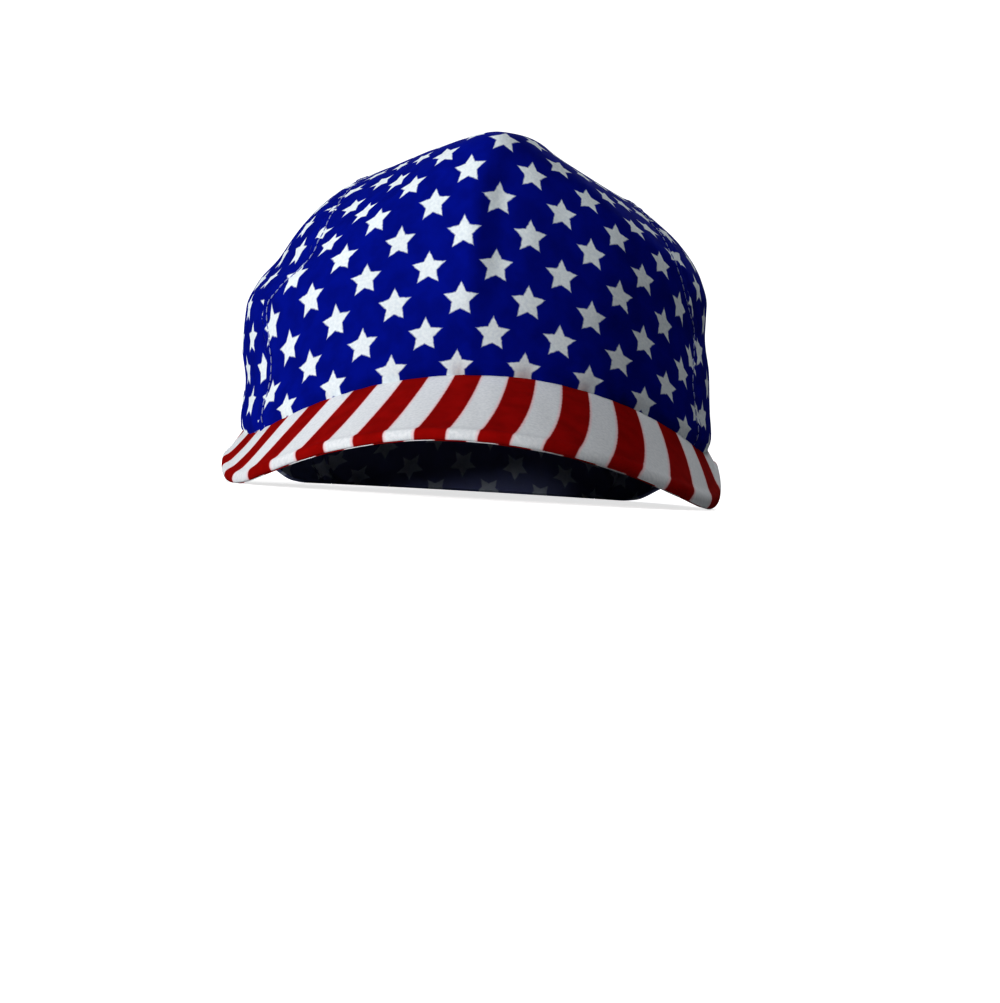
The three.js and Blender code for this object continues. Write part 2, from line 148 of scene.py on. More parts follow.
# Soft waves of the peak's covers and the finer ripples that run across them.
PEAK_WAVE = {"height": 0.16, "reach": 21.0, "seed": 5.0}
PEAK_RIPPLE = {"height": 0.12, "reach": 5.5, "seed": 8.0}
PEAK_RIPPLE_STRETCH = (1, 0.2, 0.2)

# Hem behind the peak: share of the height it has where it leaves the peak, by angle from the front.
HEM_LEAVES_PEAK = 87
HEM_HEIGHTS = ((87, 1), (100, 0.7), (112, 0.42), (120, 0.2), (127, 0.03), (133, 0), (180, 0))

# Side seam in the side view, as (y, z).
SIDE_SEAM = (
    (-40, -6), (-40, 26), (-44, 46), (-39, 63), (-48, 78), (-43, 92), (-28, 104),
    (0, 111), (30, 105), (53, 86), (64, 58), (68, 28), (69, -6),
)

# Gap between the panels where they are sewn, how near to it a corner is moved onto the cut, half the width
# of the sewn allowance behind it and how many times thinner than a panel that is, and how far the crown's
# front edge is sunk into the peak's seam, with the angles over which that ends. The seam's curve takes some
# steps from one corner to the next, and the distance from it counts at least at the slowest pace on the skin.
SEAM_GAP = 0.35
CUT_SNAP = 0.08
ALLOWANCE_HALF = 4.0
ALLOWANCE_THINNER = 3
SUNK_FRONT = 1.4
SUNK_FRONT_REACH = (80, 89)
SEAM_CURVE_STEPS = 8
SLOWEST_PACE = 0.35

# Relief beside the side seams: the sunk seam, the ridge over its allowance, the groove of the topstitches
# and the puckers. Widths and reaches are distances from the seam, and shares are of the seam's depth.
SEAM_WIDTH = 1.5
RIDGE_SHARE = 0.45
RIDGE_RISES = (0.6, 2.2)
RIDGE_FALLS = (4.6, 6.4)
GROOVE_SHARE = 0.4
GROOVE_WIDTH = 0.8
PUCKER_WAVE = {"pitch": 0.86, "sway": 1.7, "slow": 0.21}
PUCKER_REACH = 6.0

# Relief of the lower edge: the roll and the tuck over the peak's seam, the step of the hem behind, and the
# gathers of both, which are counted along a circle.
FRONT_ANGLES = (78, 90)
ROLL_HEIGHT = 5.0
TUCK_DEPTH = 0.9
TUCK_HEIGHT = 1.3
HEM_STEP = 0.35
HEM_STEP_ENDS = (-1.5, 0.5)
HEM_GROOVE_WIDTH = 0.9
GATHER_RADIUS = 84
GATHER_WAVE = {"pitch": 0.74, "sway": 2.1, "slow": 0.13}
FRONT_GATHER = 0.16
FRONT_GATHER_REACH = 5.0
HEM_GATHER = 0.22
HEM_GATHER_REACH = 4.0

# Slow and fine waves of the whole crown. The cloth is tighter in front, and calm at the very top.
CROWN_WAVE = {"reach": 46.0, "seed": 3.0}
CROWN_RIPPLE = {"reach": 17.0, "seed": 11.0}
RIPPLE_HEIGHT = 0.3
TIGHT_SHARE = 0.35
TIGHT_REACH = (-70, 10)
CALM_SHARE = 0.35
CALM_REACH = (-0.3, 0.2)

# Print on the crown: the stars stand in offset rows. The cloth was stretched over the front, so the place
# in the print is a low power series of the two lengths measured on the cloth, in units of PRINT_SCALE. Its
# terms were worked out by a least-squares fit to the stars' places in the photo.
STAR_COLUMN_PITCH = 11.2
STAR_ROW_PITCH = 11.25
PRINT_AXIS_HEIGHT = 15.0
PRINT_SCALE = 50.0
PRINT_MIDDLE = 100.0
PRINT_STRETCH = (
    {"across": 0, "up": 0, "column": 1.02, "row": 1.302},
    {"across": 1, "up": 0, "column": 4.473, "row": 0.023},
    {"across": 0, "up": 1, "column": 0.05, "row": 4.385},
    {"across": 1, "up": 1, "column": 0.052, "row": 0.158},
    {"across": 2, "up": 0, "column": -0.018, "row": -0.199},
    {"across": 0, "up": 2, "column": -0.05, "row": -0.19},
    {"across": 3, "up": 0, "column": -0.08, "row": -0.01},
    {"across": 2, "up": 1, "column": 0.09, "row": -0.541},
    {"across": 1, "up": 2, "column": 0.161, "row": 0.076},
    {"across": 0, "up": 3, "column": -0.177, "row": -0.023},
)
PRINT_FRONT_ACROSS = (-1.9, 1.65)
PRINT_FRONT_UP = (-0.9, 1.15)

# Angles at which the cloth's lengths are measured, and how far the skin is looked for from the print's axis.
CLOTH_UP_ANGLES = (-20, 201)
CLOTH_SIDE_ANGLES = (-80, 81)
CLOTH_ANGLE_STEP = 2.0
SKIN_SEARCH = (5.0, 170.0)
SKIN_SEARCH_STEPS = 36

# Level of the ring on which the side print is counted round the head, and its steps.
SIDE_RING_LEVEL = 45.0
SIDE_RING_STEPS = 360

# Print on the peak: number of the stripe edge by the place on the flat board, across it and forward along
# it, as a low power series in units of PRINT_SCALE. Its terms were worked out by a least-squares fit to the
# places of the stripe edges in the photo.
STRIPE_MIDDLE = 70.0
STRIPE_STRETCH = (
    {"across": 0, "forward": 0, "stripe": 9.36},
    {"across": 1, "forward": 0, "stripe": 5.833},
    {"across": 0, "forward": 1, "stripe": 0.799},
    {"across": 2, "forward": 0, "stripe": -0.032},
    {"across": 1, "forward": 1, "stripe": -1.425},
    {"across": 0, "forward": 2, "stripe": -0.036},
    {"across": 3, "forward": 0, "stripe": -0.384},
    {"across": 2, "forward": 1, "stripe": 0.159},
    {"across": 1, "forward": 2, "stripe": 0.523},
    {"across": 0, "forward": 3, "stripe": 0.139},
    {"across": 4, "forward": 0, "stripe": 0.068},
    {"across": 3, "forward": 1, "stripe": 0.202},
    {"across": 2, "forward": 2, "stripe": 0.024},
    {"across": 1, "forward": 3, "stripe": 0.027},
    {"across": 0, "forward": 4, "stripe": 0.019},
)
STRIPE_WIDTH = 10.8
UNDER_STRIPE_SHIFT = 1.35

# Looks of the cloth: how dull it is, where the noise of threads and crumples turns from one tone to the
# other, how the prints wander and bleed, and how the threads darken them with painted shade.
CLOTH_LOOK = {"roughness": 0.9, "sheen": 0.0, "specular": 0.02}
THREAD_LOOK = {"roughness": 0.6, "sheen": 0.02, "specular": 0.2}
FLOOR_LOOK = {"roughness": 0.9, "sheen": 0.0, "specular": 0.1}
SHEEN_ROUGHNESS = 0.5
CRUMPLE_TONES = (0.3, 0.7)
SLUB_TONES = (0.25, 0.75)
FLECK_TONES = (0.35, 0.65)
THREAD_DARK = 0.7
CRUMPLE_DEPTH = 6
STAR_WANDER = 0.5
STRIPE_WANDER = 0.35
BLEED_REACH = (0.1, 1.3)
BLEED_SHARE = 0.55
REVERSE_SHARE = 0.55
SHADE_DEPTH = 0.07
SHADE_MIDDLE = 0.95
SHADE_MOST = 1.05

# Stitches: how far they stand off the cloth and the least way between two points of their line, in metres,
# and how far behind the peak's end the row along the hem begins, in degrees.
THREAD_LIFT = 0.12 * MM
LINE_STEP = 1.1 * MM
HEM_ROW_START = 3

# Fineness of the meshes, folds that stay crisp, and distances in metres at which points are one.
CROWN_STEPS = 400
CROWN_ROWS = 108
CROWN_ROW_POWER = 0.95
CROWN_LID_ROWS = 10
PEAK_STEPS = 420
PEAK_FACE_ROWS = 40
CROWN_SHARP = math.radians(55)
PEAK_SHARP = math.radians(50)
NEVER_SHARP = math.radians(180)
SAME_POINT = 0.002 * MM
FLAT_FACE = 0.001 * MM

# The camera stands level with the hem, and the picture is turned a little clockwise.
CAMERA_TARGET = (11.9, 26.86, -2.08)
CAMERA_DISTANCE = 1000.0
CAMERA_AZIMUTH = math.radians(-3.1)
CAMERA_ELEVATION = math.radians(0.86)
CAMERA_ROLL = math.radians(3.3)
CAMERA_LENS = 99.43
CAMERA_SENSOR = 36
CAMERA_CLIP = 0.01

# Soft studio light: large round lamps that look at the middle of the cap, in metres, watts and degrees.
LIGHT_TARGET = (0, 0, 0.07)
STUDIO_LIGHTS = (
    {"name": "key_light", "azimuth": -55, "elevation": 9, "distance": 1.3, "size": 0.35, "power": 12.6},
    {"name": "fill_light", "azimuth": 30, "elevation": 72, "distance": 1.6, "size": 0.7, "power": 8.5},
    {"name": "back_light", "azimuth": 170, "elevation": 28, "distance": 1.6, "size": 0.8, "power": 6.0},
)

# Pale floor that a painted glow brightens away from the cap, as the camera sees it and as it lights the cap,
# and the room.
FLOOR_HALF = 6.0
FLOOR_GRAIN = 0.985
FLOOR_GLOW_REACH = (0.25, 1.2)
FLOOR_GLOW = (0.62, 0.62, 0.62)
FLOOR_GREY = (0.5, 0.5, 0.5)
WHITE = (1, 1, 1)
ROOM_LIGHT = (0.93, 0.96, 1)
ROOM_LIGHT_STRENGTH = 0.03


# Curves and sections


def smooth_column(places, values):
    """A smooth curve through a column of a table that never overshoots its rows."""
    x = np.asarray(places, float)
    y = np.asarray(values, float)
    slope = np.diff(y) / np.diff(x)
    before = slope[:-1]
    after = slope[1:]
    same_way = before * after > 0
    tangent = np.empty_like(y)
    tangent[0] = slope[0]
    tangent[-1] = slope[-1]
    tangent[1:-1] = np.where(same_way, 2 * before * after / np.where(same_way, before + after, 1), 0)

    def curve(at):
        value = np.clip(at, x[0], x[-1])
        i = np.clip(np.searchsorted(x, value, side="right") - 1, 0, len(x) - 2)
        span = x[i + 1] - x[i]
        t = (value - x[i]) / span
        steady = y[i] * (2 * t**3 - 3 * t**2 + 1) + y[i + 1] * (3 * t**2 - 2 * t**3)
        return steady + span * (tangent[i] * (t**3 - 2 * t**2 + t) + tangent[i + 1] * (t**3 - t**2))

    return curve


def smoothstep(value, low, high):
    """0 below low, 1 above high and a soft step between them."""
    t = np.clip((value - low) / (high - low), 0, 1)
    return t * t * (3 - 2 * t)


def hump(distance, width):
    """1 where the distance is 0, with soft slopes of this width."""
    return np.exp(-((distance / width) ** 2))


def swaying_wave(place, pitch, sway, slow):
    """A wave along place that runs now faster and now slower."""
    return np.sin(place * pitch + sway * np.sin(place * slow))


def end_fade(along, share):
    """Rises from each end of a line to 1 in its middle, and starts a share of the way up."""
    return np.sin(math.pi * (share + (1 - 2 * share) * along))


levels = [row[0] for row in CROWN_SECTIONS]
section = {
    name: smooth_column(levels, [row[k] for row in CROWN_SECTIONS])
    for k, name in enumerate(CROWN_COLUMNS)
    if k > 0
}
hem_share = smooth_column([row[0] for row in HEM_HEIGHTS], [row[1] for row in HEM_HEIGHTS])


def crown_point(turn, level):
    """Point of the crown's plain surface at a turn from the front (radians, + to the right) and a level."""
    across = np.sin(turn)
    along = np.cos(turn)
    front = section["front"](level)
    back = section["back"](level)
    middle = WIDEST_LINE_SHARE * (front + back)
    power = np.where(along > 0, section["front_power"](level), section["back_power"](level))
    half = np.where(across > 0, section["right"](level), section["left"](level))
    reach = np.where(along > 0, front, back)
    x = half * np.sign(across) * np.abs(across) ** (2 / power)
    y = middle + (reach - middle) * np.abs(along) ** (2 / power)
    return np.stack([x, y, level + 0 * x], -1)


def outside_crown(points):
    """Above zero where a point lies outside the plain crown."""
    x, y, z = points[..., 0], points[..., 1], points[..., 2]
    level = np.clip(z, 0, CROWN_TOP)
    front = section["front"](level)
    back = section["back"](level)
    middle = WIDEST_LINE_SHARE * (front + back)
    half = np.where(x > 0, section["right"](level), section["left"](level))
    reach = np.where(y < middle, middle - front, back - middle)
    power = np.where(y < middle, section["front_power"](level), section["back_power"](level))
    round_part = (np.abs(x) / half) ** power + (np.abs(y - middle) / reach) ** power - 1
    return np.maximum(round_part, z - CROWN_TOP)


def fold_rise(points, strength):
    """How far the folds raise or sink the crown's cloth at each point."""
    spot = points[..., [0, 2]]
    total = np.zeros(spot.shape[:-1])
    for fold in CROWN_FOLDS:
        corners = [np.array(fold[key], float) for key in ("from", "bend", "to")]
        lengths = [np.linalg.norm(corners[k + 1] - corners[k]) for k in (0, 1)]
        nearest = np.full(total.shape, np.inf)
        along = np.zeros(total.shape)
        for k in (0, 1):
            run = corners[k + 1] - corners[k]
            t = np.clip(((spot - corners[k]) @ run) / (run @ run), 0, 1)
            distance = np.linalg.norm(spot - corners[k] - t[..., None] * run, axis=-1)
            place = (t * lengths[k] + k * lengths[0]) / sum(lengths)
            along = np.where(distance < nearest, place, along)
            nearest = np.minimum(distance, nearest)
        total += fold["rise"] * end_fade(along, FOLD_END_SHARE) * hump(nearest, fold["width"])
    return strength * total * (1 - smoothstep(points[..., 1], *FOLD_FRONT_REACH))


def crest_places(points, line):
    """Distance from a crest line in the front view, + beyond it, and the share of the way along it."""
    spot = points[..., [0, 2]]
    corners = np.array(line, float)
    runs = np.diff(corners, axis=0)
    lengths = np.linalg.norm(runs, axis=1)
    starts = np.concatenate([[0], np.cumsum(lengths)])
    outward = np.array([np.sign(corners[0, 0]) * math.sqrt(1 - CREST_OUTWARD_RISE**2), CREST_OUTWARD_RISE])
    nearest = np.full(spot.shape[:-1], np.inf)
    along = np.zeros(nearest.shape)
    side = np.ones(nearest.shape)
    for corner, run, length, start in zip(corners, runs, lengths, starts):
        off = spot - corner
        t = (off @ run) / length**2
        across = np.array([-run[1], run[0]]) / length
        across = across * np.sign(across @ outward)
        held = np.clip(t, 0, 1)
        distance = np.linalg.norm(off - held[..., None] * run, axis=-1)
        closer = distance < nearest
        side = np.where(closer, np.sign(off @ across), side)
        along = np.where(closer, (start + held * length) / starts[-1], along)
        nearest = np.minimum(distance, nearest)
    return nearest * side, along


def crest_shares(points):
    """For each crest, its row of the table, how far up its slopes each point is, and how far beyond it."""
    back_fade = 1 - smoothstep(points[..., 1], *CREST_BACK_REACH)
    for row in CROWN_CRESTS:
        crest = dict(zip(CREST_COLUMNS, row))
        distance, along = crest_places(points, crest["line"])
        ends = end_fade(along, CREST_END_SHARE) ** CREST_FADE_POWER
        height = 0
        for shift in (-CREST_SOFTNESS, 0, CREST_SOFTNESS):
            place = distance + shift
            inner = np.clip(1 + place / crest["inner"], 0, 1)
            outer = np.clip(1 - place / crest["outer"], 0, 1)
            height = height + np.where(place < 0, inner, outer) ** CREST_FALL_POWER / 3
        spare = smoothstep(along, 0, SPARE_END_SHARE) * (1 - smoothstep(along, 1 - SPARE_END_SHARE, 1))
        spare = ends * spare * (1 - smoothstep(points[..., 1], *SPARE_BACK_REACH))
        yield crest, height * (ends * back_fade), smoothstep(distance, 0, crest["outer"]) * spare


# The bent board of the peak


def board_section(s, lift):
    """Place across and height of the bent board at a length s round it, lifted off its middle."""
    bend = np.minimum(np.abs(s), PEAK_BENT_HALF) / PEAK_BEND_RADIUS
    straight = np.maximum(np.abs(s) - PEAK_BENT_HALF, 0)
    across = (PEAK_BEND_RADIUS + lift) * np.sin(bend) + straight * np.cos(bend)
    height = (PEAK_BEND_RADIUS + lift) * np.cos(bend) - straight * np.sin(bend)
    return np.sign(s) * across, height


def board_across(x, lift):
    """Length round the board at which it reaches x."""
    across = np.abs(x - PEAK_AXIS_OFFSET)
    bend = PEAK_BENT_HALF / PEAK_BEND_RADIUS
    bent_reach = (PEAK_BEND_RADIUS + lift) * math.sin(bend)
    inside = PEAK_BEND_RADIUS * np.arcsin(np.clip(across / (PEAK_BEND_RADIUS + lift), 0, 1))
    beyond = PEAK_BENT_HALF + (across - bent_reach) / math.cos(bend)
    return np.sign(x - PEAK_AXIS_OFFSET) * np.where(across <= bent_reach, inside, beyond)


def board_point(s, q, lift):
    """Point of the board at s round it and q forward along it."""
    across, height = board_section(s, lift)
    up = PEAK_AXIS_HEIGHT + height
    y = -math.sin(PEAK_DIP) * up - math.cos(PEAK_DIP) * q
    z = PEAK_RAISE + math.cos(PEAK_DIP) * up - math.sin(PEAK_DIP) * q
    return np.stack([PEAK_AXIS_OFFSET + across, y, z], -1)


def board_height(x, y, lift):
    """Height of the board over a place on the ground."""
    up = PEAK_AXIS_HEIGHT + board_section(board_across(x, lift), lift)[1]
    return PEAK_RAISE + (up + y * math.sin(PEAK_DIP)) / math.cos(PEAK_DIP)


def board_place(x, y):
    """Place on the flat board of a point over x and y."""
    s = board_across(x, 0)
    up = PEAK_AXIS_HEIGHT + board_section(s, 0)[1]
    return np.stack([s, -(y + up * math.sin(PEAK_DIP)) / math.cos(PEAK_DIP)], -1)


def peak_edge(turn):
    """Outer edge of the peak on the flat board."""
    half = np.where(turn > 0, PEAK_EDGE_RIGHT, PEAK_EDGE_LEFT)
    across = np.abs(np.sin(turn)) ** (2 / PEAK_EDGE_POWER)
    forward = np.maximum(np.cos(turn), 0) ** (2 / PEAK_EDGE_POWER)
    reach = PEAK_EDGE_START + (PEAK_EDGE_REACH - PEAK_EDGE_START) * forward
    return np.stack([half * np.sign(turn) * across, reach], -1)


def hem_height(turn, x, y):
    """Height of the crown's lower edge: on the peak in front, and down to the ground behind."""
    start = crown_point(math.radians(HEM_LEAVES_PEAK), RIM_SECTION_LEVEL)
    start_height = board_height(start[0], start[1], PEAK_FACE_LIFT) + PIECE_GAP
    angle = np.abs(np.degrees(turn))
    on_peak = board_height(x, y, PEAK_FACE_LIFT) + PIECE_GAP
    behind = REST_LEVEL + (start_height - REST_LEVEL) * hem_share(angle)
    return np.where(angle < HEM_LEAVES_PEAK, on_peak, behind)


# The side seam


def seam_path():
    """The seam in the side view, as many close points from the hem up, over the shoulder and down."""
    corners = np.array(SIDE_SEAM, float)
    padded = np.vstack([corners[0], corners, corners[-1]])
    points = []
    for k in range(len(corners) - 1):
        a, b, c, d = padded[k : k + 4]
        t = np.linspace(0, 1, SEAM_CURVE_STEPS + 1)[:-1, None]
        points.append(
            0.5 * (2 * b + (c - a) * t + (2 * a - 5 * b + 4 * c - d) * t**2 + (3 * b - a - 3 * c + d) * t**3)
        )
    return np.vstack(points + [corners[-1:]])


def seam_distance(spot):
    """Distance in the side view to the seam, + on the side panel, the way to it and the place along it."""
    path = seam_path()
    lengths = np.linalg.norm(np.diff(path, axis=0), axis=1)
    start = np.concatenate([[0], np.cumsum(lengths)])
    flat = spot.reshape(-1, 2)
    nearest = np.full(len(flat), np.inf)
    along = np.zeros(len(flat))
    way = np.zeros((len(flat), 2))
    crossings = np.zeros(len(flat), int)
    for k in range(len(path) - 1):
        run = path[k + 1] - path[k]
        t = np.clip(((flat - path[k]) @ run) / (run @ run), 0, 1)
        off = flat - path[k] - t[:, None] * run
        distance = np.linalg.norm(off, axis=1)
        closer = distance < nearest
        nearest = np.where(closer, distance, nearest)
        along = np.where(closer, start[k] + t * lengths[k], along)
        way = np.where(closer[:, None], off, way)
        spans = (path[k, 1] > flat[:, 1]) != (path[k + 1, 1] > flat[:, 1])
        if run[1] != 0:
            meets = path[k, 0] + (flat[:, 1] - path[k, 1]) * run[0] / run[1]
            crossings += spans & (flat[:, 0] < meets)
    inside = crossings % 2 == 1
    sign = np.where(inside, 1.0, -1.0)
    way = way * sign[:, None] / np.maximum(nearest, 1e-9)[:, None]
    shape = spot.shape[:-1]
    return (nearest * sign).reshape(shape), way.reshape(*shape, 2), along.reshape(shape)


# The print on the cloth


def cloth_lengths():
    """Lengths on the cloth of the middle panel, across from its middle line and up along it, as tables
    over the angle up and over the crown and the angle out to the side."""
    up_angles = np.radians(np.arange(*CLOTH_UP_ANGLES, CLOTH_ANGLE_STEP))
    side_angles = np.radians(np.arange(*CLOTH_SIDE_ANGLES, CLOTH_ANGLE_STEP))
    up, out = np.meshgrid(up_angles, side_angles, indexing="ij")
    way = np.stack([np.sin(out), -np.cos(out) * np.cos(up), np.cos(out) * np.sin(up)], -1)
    axis = np.array([0, 0, PRINT_AXIS_HEIGHT])
    low = np.full(up.shape, SKIN_SEARCH[0])
    high = np.full(up.shape, SKIN_SEARCH[1])
    for _ in range(SKIN_SEARCH_STEPS):
        middle = (low + high) / 2
        is_out = outside_crown(axis + way * middle[..., None]) > 0
        high = np.where(is_out, middle, high)
        low = np.where(is_out, low, middle)
    skin = axis + way * low[..., None]
    centre = len(side_angles) // 2
    steps = np.linalg.norm(np.diff(skin, axis=1), axis=2)
    across = np.concatenate([np.zeros((len(up_angles), 1)), np.cumsum(steps, axis=1)], axis=1)
    across -= across[:, centre : centre + 1]
    rises = np.linalg.norm(np.diff(skin[:, centre], axis=0), axis=1)
    along = np.concatenate([[0], np.cumsum(rises)])
    return up_angles, side_angles, across, along


def middle_print(points, tables):
    """Place in the print of each point of the middle panel, in star columns and rows."""
    up_angles, side_angles, across_table, along_table = tables
    height = points[..., 2] - PRINT_AXIS_HEIGHT
    up = np.arctan2(height, -points[..., 1])
    up = np.where(up < -math.pi / 2, up + 2 * math.pi, up)
    out = np.arctan2(points[..., 0], np.hypot(height, points[..., 1]))
    along = np.interp(up, up_angles, along_table)
    i = np.clip((up - up_angles[0]) / (up_angles[1] - up_angles[0]), 0, len(up_angles) - 1.001)
    j = np.clip((out - side_angles[0]) / (side_angles[1] - side_angles[0]), 0, len(side_angles) - 1.001)
    i0 = i.astype(int)
    j0 = j.astype(int)
    a = i - i0
    b = j - j0
    across = (
        across_table[i0, j0] * (1 - a) * (1 - b)
        + across_table[i0 + 1, j0] * a * (1 - b)
        + across_table[i0, j0 + 1] * (1 - a) * b
        + across_table[i0 + 1, j0 + 1] * a * b
    )
    u = across / PRINT_SCALE
    v = (along - PRINT_MIDDLE) / PRINT_SCALE
    u_front = np.clip(u, *PRINT_FRONT_ACROSS)
    v_front = np.clip(v, *PRINT_FRONT_UP)
    column = np.zeros(u.shape)
    row = np.zeros(u.shape)
    for term in PRINT_STRETCH:
        straight = term["across"] + term["up"] <= 1
        base = (u if straight else u_front) ** term["across"] * (v if straight else v_front) ** term["up"]
        column += term["column"] * base
        row += term["row"] * base
    for crest, _, beyond in crest_shares(points):
        way = np.sign(crest["line"][0][0])
        column += way * math.sqrt(1 - CREST_OUTWARD_RISE**2) * crest["spare"] / STAR_COLUMN_PITCH * beyond
        row += CREST_OUTWARD_RISE * crest["spare"] / STAR_ROW_PITCH * beyond
    return np.stack([column, row], -1)


def side_print(turn, above, foot, sizes):
    """Place in the print of each point of a side panel, round the head and up from the hem."""
    ring_turns = np.linspace(-math.pi, math.pi, SIDE_RING_STEPS + 1)
    ring = crown_point(ring_turns, np.full(len(ring_turns), SIDE_RING_LEVEL))
    round_length = np.concatenate([[0], np.cumsum(np.linalg.norm(np.diff(ring, axis=0), axis=1))])
    place = np.interp(turn, ring_turns, round_length) - round_length[SIDE_RING_STEPS // 2]
    column = place / STAR_COLUMN_PITCH + np.where(turn < 0, sizes.left_print_round, sizes.right_print_round)
    row = (above + foot) / STAR_ROW_PITCH + np.where(turn < 0, sizes.left_print_up, sizes.right_print_up)
    return np.stack([column, row], -1)


def stripe_print(place, ahead):
    """Place in the print of each point of the peak: number of the stripe edge, and the way to the edge."""
    across = place[:, 0] / PRINT_SCALE
    forward = (place[:, 1] - STRIPE_MIDDLE) / PRINT_SCALE
    index = sum(t["stripe"] * across ** t["across"] * forward ** t["forward"] for t in STRIPE_STRETCH)
    return np.stack([index, ahead / STRIPE_WIDTH], -1)


# Meshes


def new_piece(name, points, faces, layers, materials):
    """Mesh object from points in millimetres, with one UV map for each layer of places."""
    mesh = bpy.data.meshes.new(name)
    mesh.from_pydata(((points + CENTRE_SHIFT) * MM).tolist(), [], faces)
    corner = np.empty(len(mesh.loops), np.int32)
    mesh.loops.foreach_get("vertex_index", corner)
    for layer, places in layers.items():
        uv = mesh.uv_layers.new(name=layer)
        uv.data.foreach_set("uv", places[corner].astype(np.float32).ravel())
    for material in materials:
        mesh.materials.append(material)
    mesh.shade_smooth()
    piece = bpy.data.objects.new(name, mesh)
    bpy.context.scene.collection.objects.link(piece)
    return piece


def settle_modifiers(piece, sharp_angle):
    """Turns a piece with live modifiers into a plain mesh with its folds over sharp_angle kept crisp."""
    graph = bpy.context.evaluated_depsgraph_get()
    mesh = bpy.data.meshes.new_from_object(piece.evaluated_get(graph))
    piece.modifiers.clear()
    old = piece.data
    piece.data = mesh
    mesh.name = piece.name
    if old.users == 0:
        bpy.data.meshes.remove(old)
    mesh.set_sharp_from_angle(angle=sharp_angle)


def add_wall(piece, wall):
    """Gives a sheet of cloth its thickness, inwards, with the cloth's reverse inside."""
    solidify = piece.modifiers.new("cloth", "SOLIDIFY")
    solidify.thickness = wall
    solidify.offset = -1
    solidify.material_offset = 1
    solidify.material_offset_rim = 1


def finish_piece(piece, slot, *nodes):
    """Keeps a piece off the floor, and says what it rides on and the solids it stands for. Its slot is not
    used.
    """
    for vertex in piece.data.vertices:
        vertex.co.z = max(vertex.co.z, 0.0)
    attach(piece, "root")
    if nodes:
        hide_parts(*nodes)


def soft_noise(points, reach, seed):
    """Noise between about -1 and 1 at each point, whose waves are about as long as reach."""
    flat = points.reshape(-1, 3) / reach
    values = [noise.noise(Vector((x, y, z + seed))) for x, y, z in flat.tolist()]
    return np.array(values).reshape(points.shape[:-1])


def grid_normals(grid):
    """Outward normals of a grid that is round in its columns."""
    across = np.roll(grid, -1, axis=0) - np.roll(grid, 1, axis=0)
    upward = np.empty_like(grid)
    upward[:, 1:-1] = grid[:, 2:] - grid[:, :-2]
    upward[:, 0] = grid[:, 1] - grid[:, 0]
    upward[:, -1] = grid[:, -1] - grid[:, -2]
    normal = np.cross(across, upward)
    size = np.linalg.norm(normal, axis=-1, keepdims=True)
    return np.where(size > 1e-9, normal / np.maximum(size, 1e-9), np.array([0, 0, 1.0]))


def crown_grid(sizes):
    """The whole crown as a round grid of points, with what its pieces need at each point."""
    turn = np.linspace(-math.pi, math.pi, CROWN_STEPS, endpoint=False)
    foot = crown_point(turn, np.full(CROWN_STEPS, float(RIM_SECTION_LEVEL)))
    start = hem_height(turn, foot[:, 0], foot[:, 1])
    share = np.sin(np.linspace(0, 1, CROWN_ROWS) * math.pi / 2) ** CROWN_ROW_POWER
    level = start[:, None] + (CROWN_TOP - start[:, None]) * share
    turns = np.repeat(turn[:, None], CROWN_ROWS + CROWN_LID_ROWS, axis=1)
    grid = crown_point(turns[:, :CROWN_ROWS], level)
    rim = grid[:, -1]
    hub = rim.mean(axis=0)
    lid = []
    for k in range(1, CROWN_LID_ROWS + 1):
        inward = k / CROWN_LID_ROWS
        ring = rim + (hub - rim) * inward
        ring[:, 2] = CROWN_TOP + sizes.lid_rise / MM * (1 - (1 - inward) ** 2)
        lid.append(ring)
    grid = np.concatenate([grid, np.stack(lid, axis=1)], axis=1)
    steps = np.linalg.norm(np.diff(grid, axis=1), axis=2)
    above = np.concatenate([np.zeros((CROWN_STEPS, 1)), np.cumsum(steps, axis=1)], axis=1)
    normal = grid_normals(grid)
    normal[:, -1] = (0, 0, 1)
    inside, way, along = seam_distance(grid[..., 1:])
    way3 = np.concatenate([np.zeros(grid.shape[:-1] + (1,)), way], axis=-1)
    slide = way3 - (way3 * normal).sum(-1, keepdims=True) * normal
    pace = np.maximum(np.linalg.norm(slide, axis=-1), SLOWEST_PACE)
    return {
        "turn": turns,
        "foot": np.repeat(start[:, None], grid.shape[1], axis=1),
        "grid": grid,
        "above": above,
        "normal": normal,
        "from_seam": inside / pace,
        "inside": inside,
        "along_seam": along,
    }


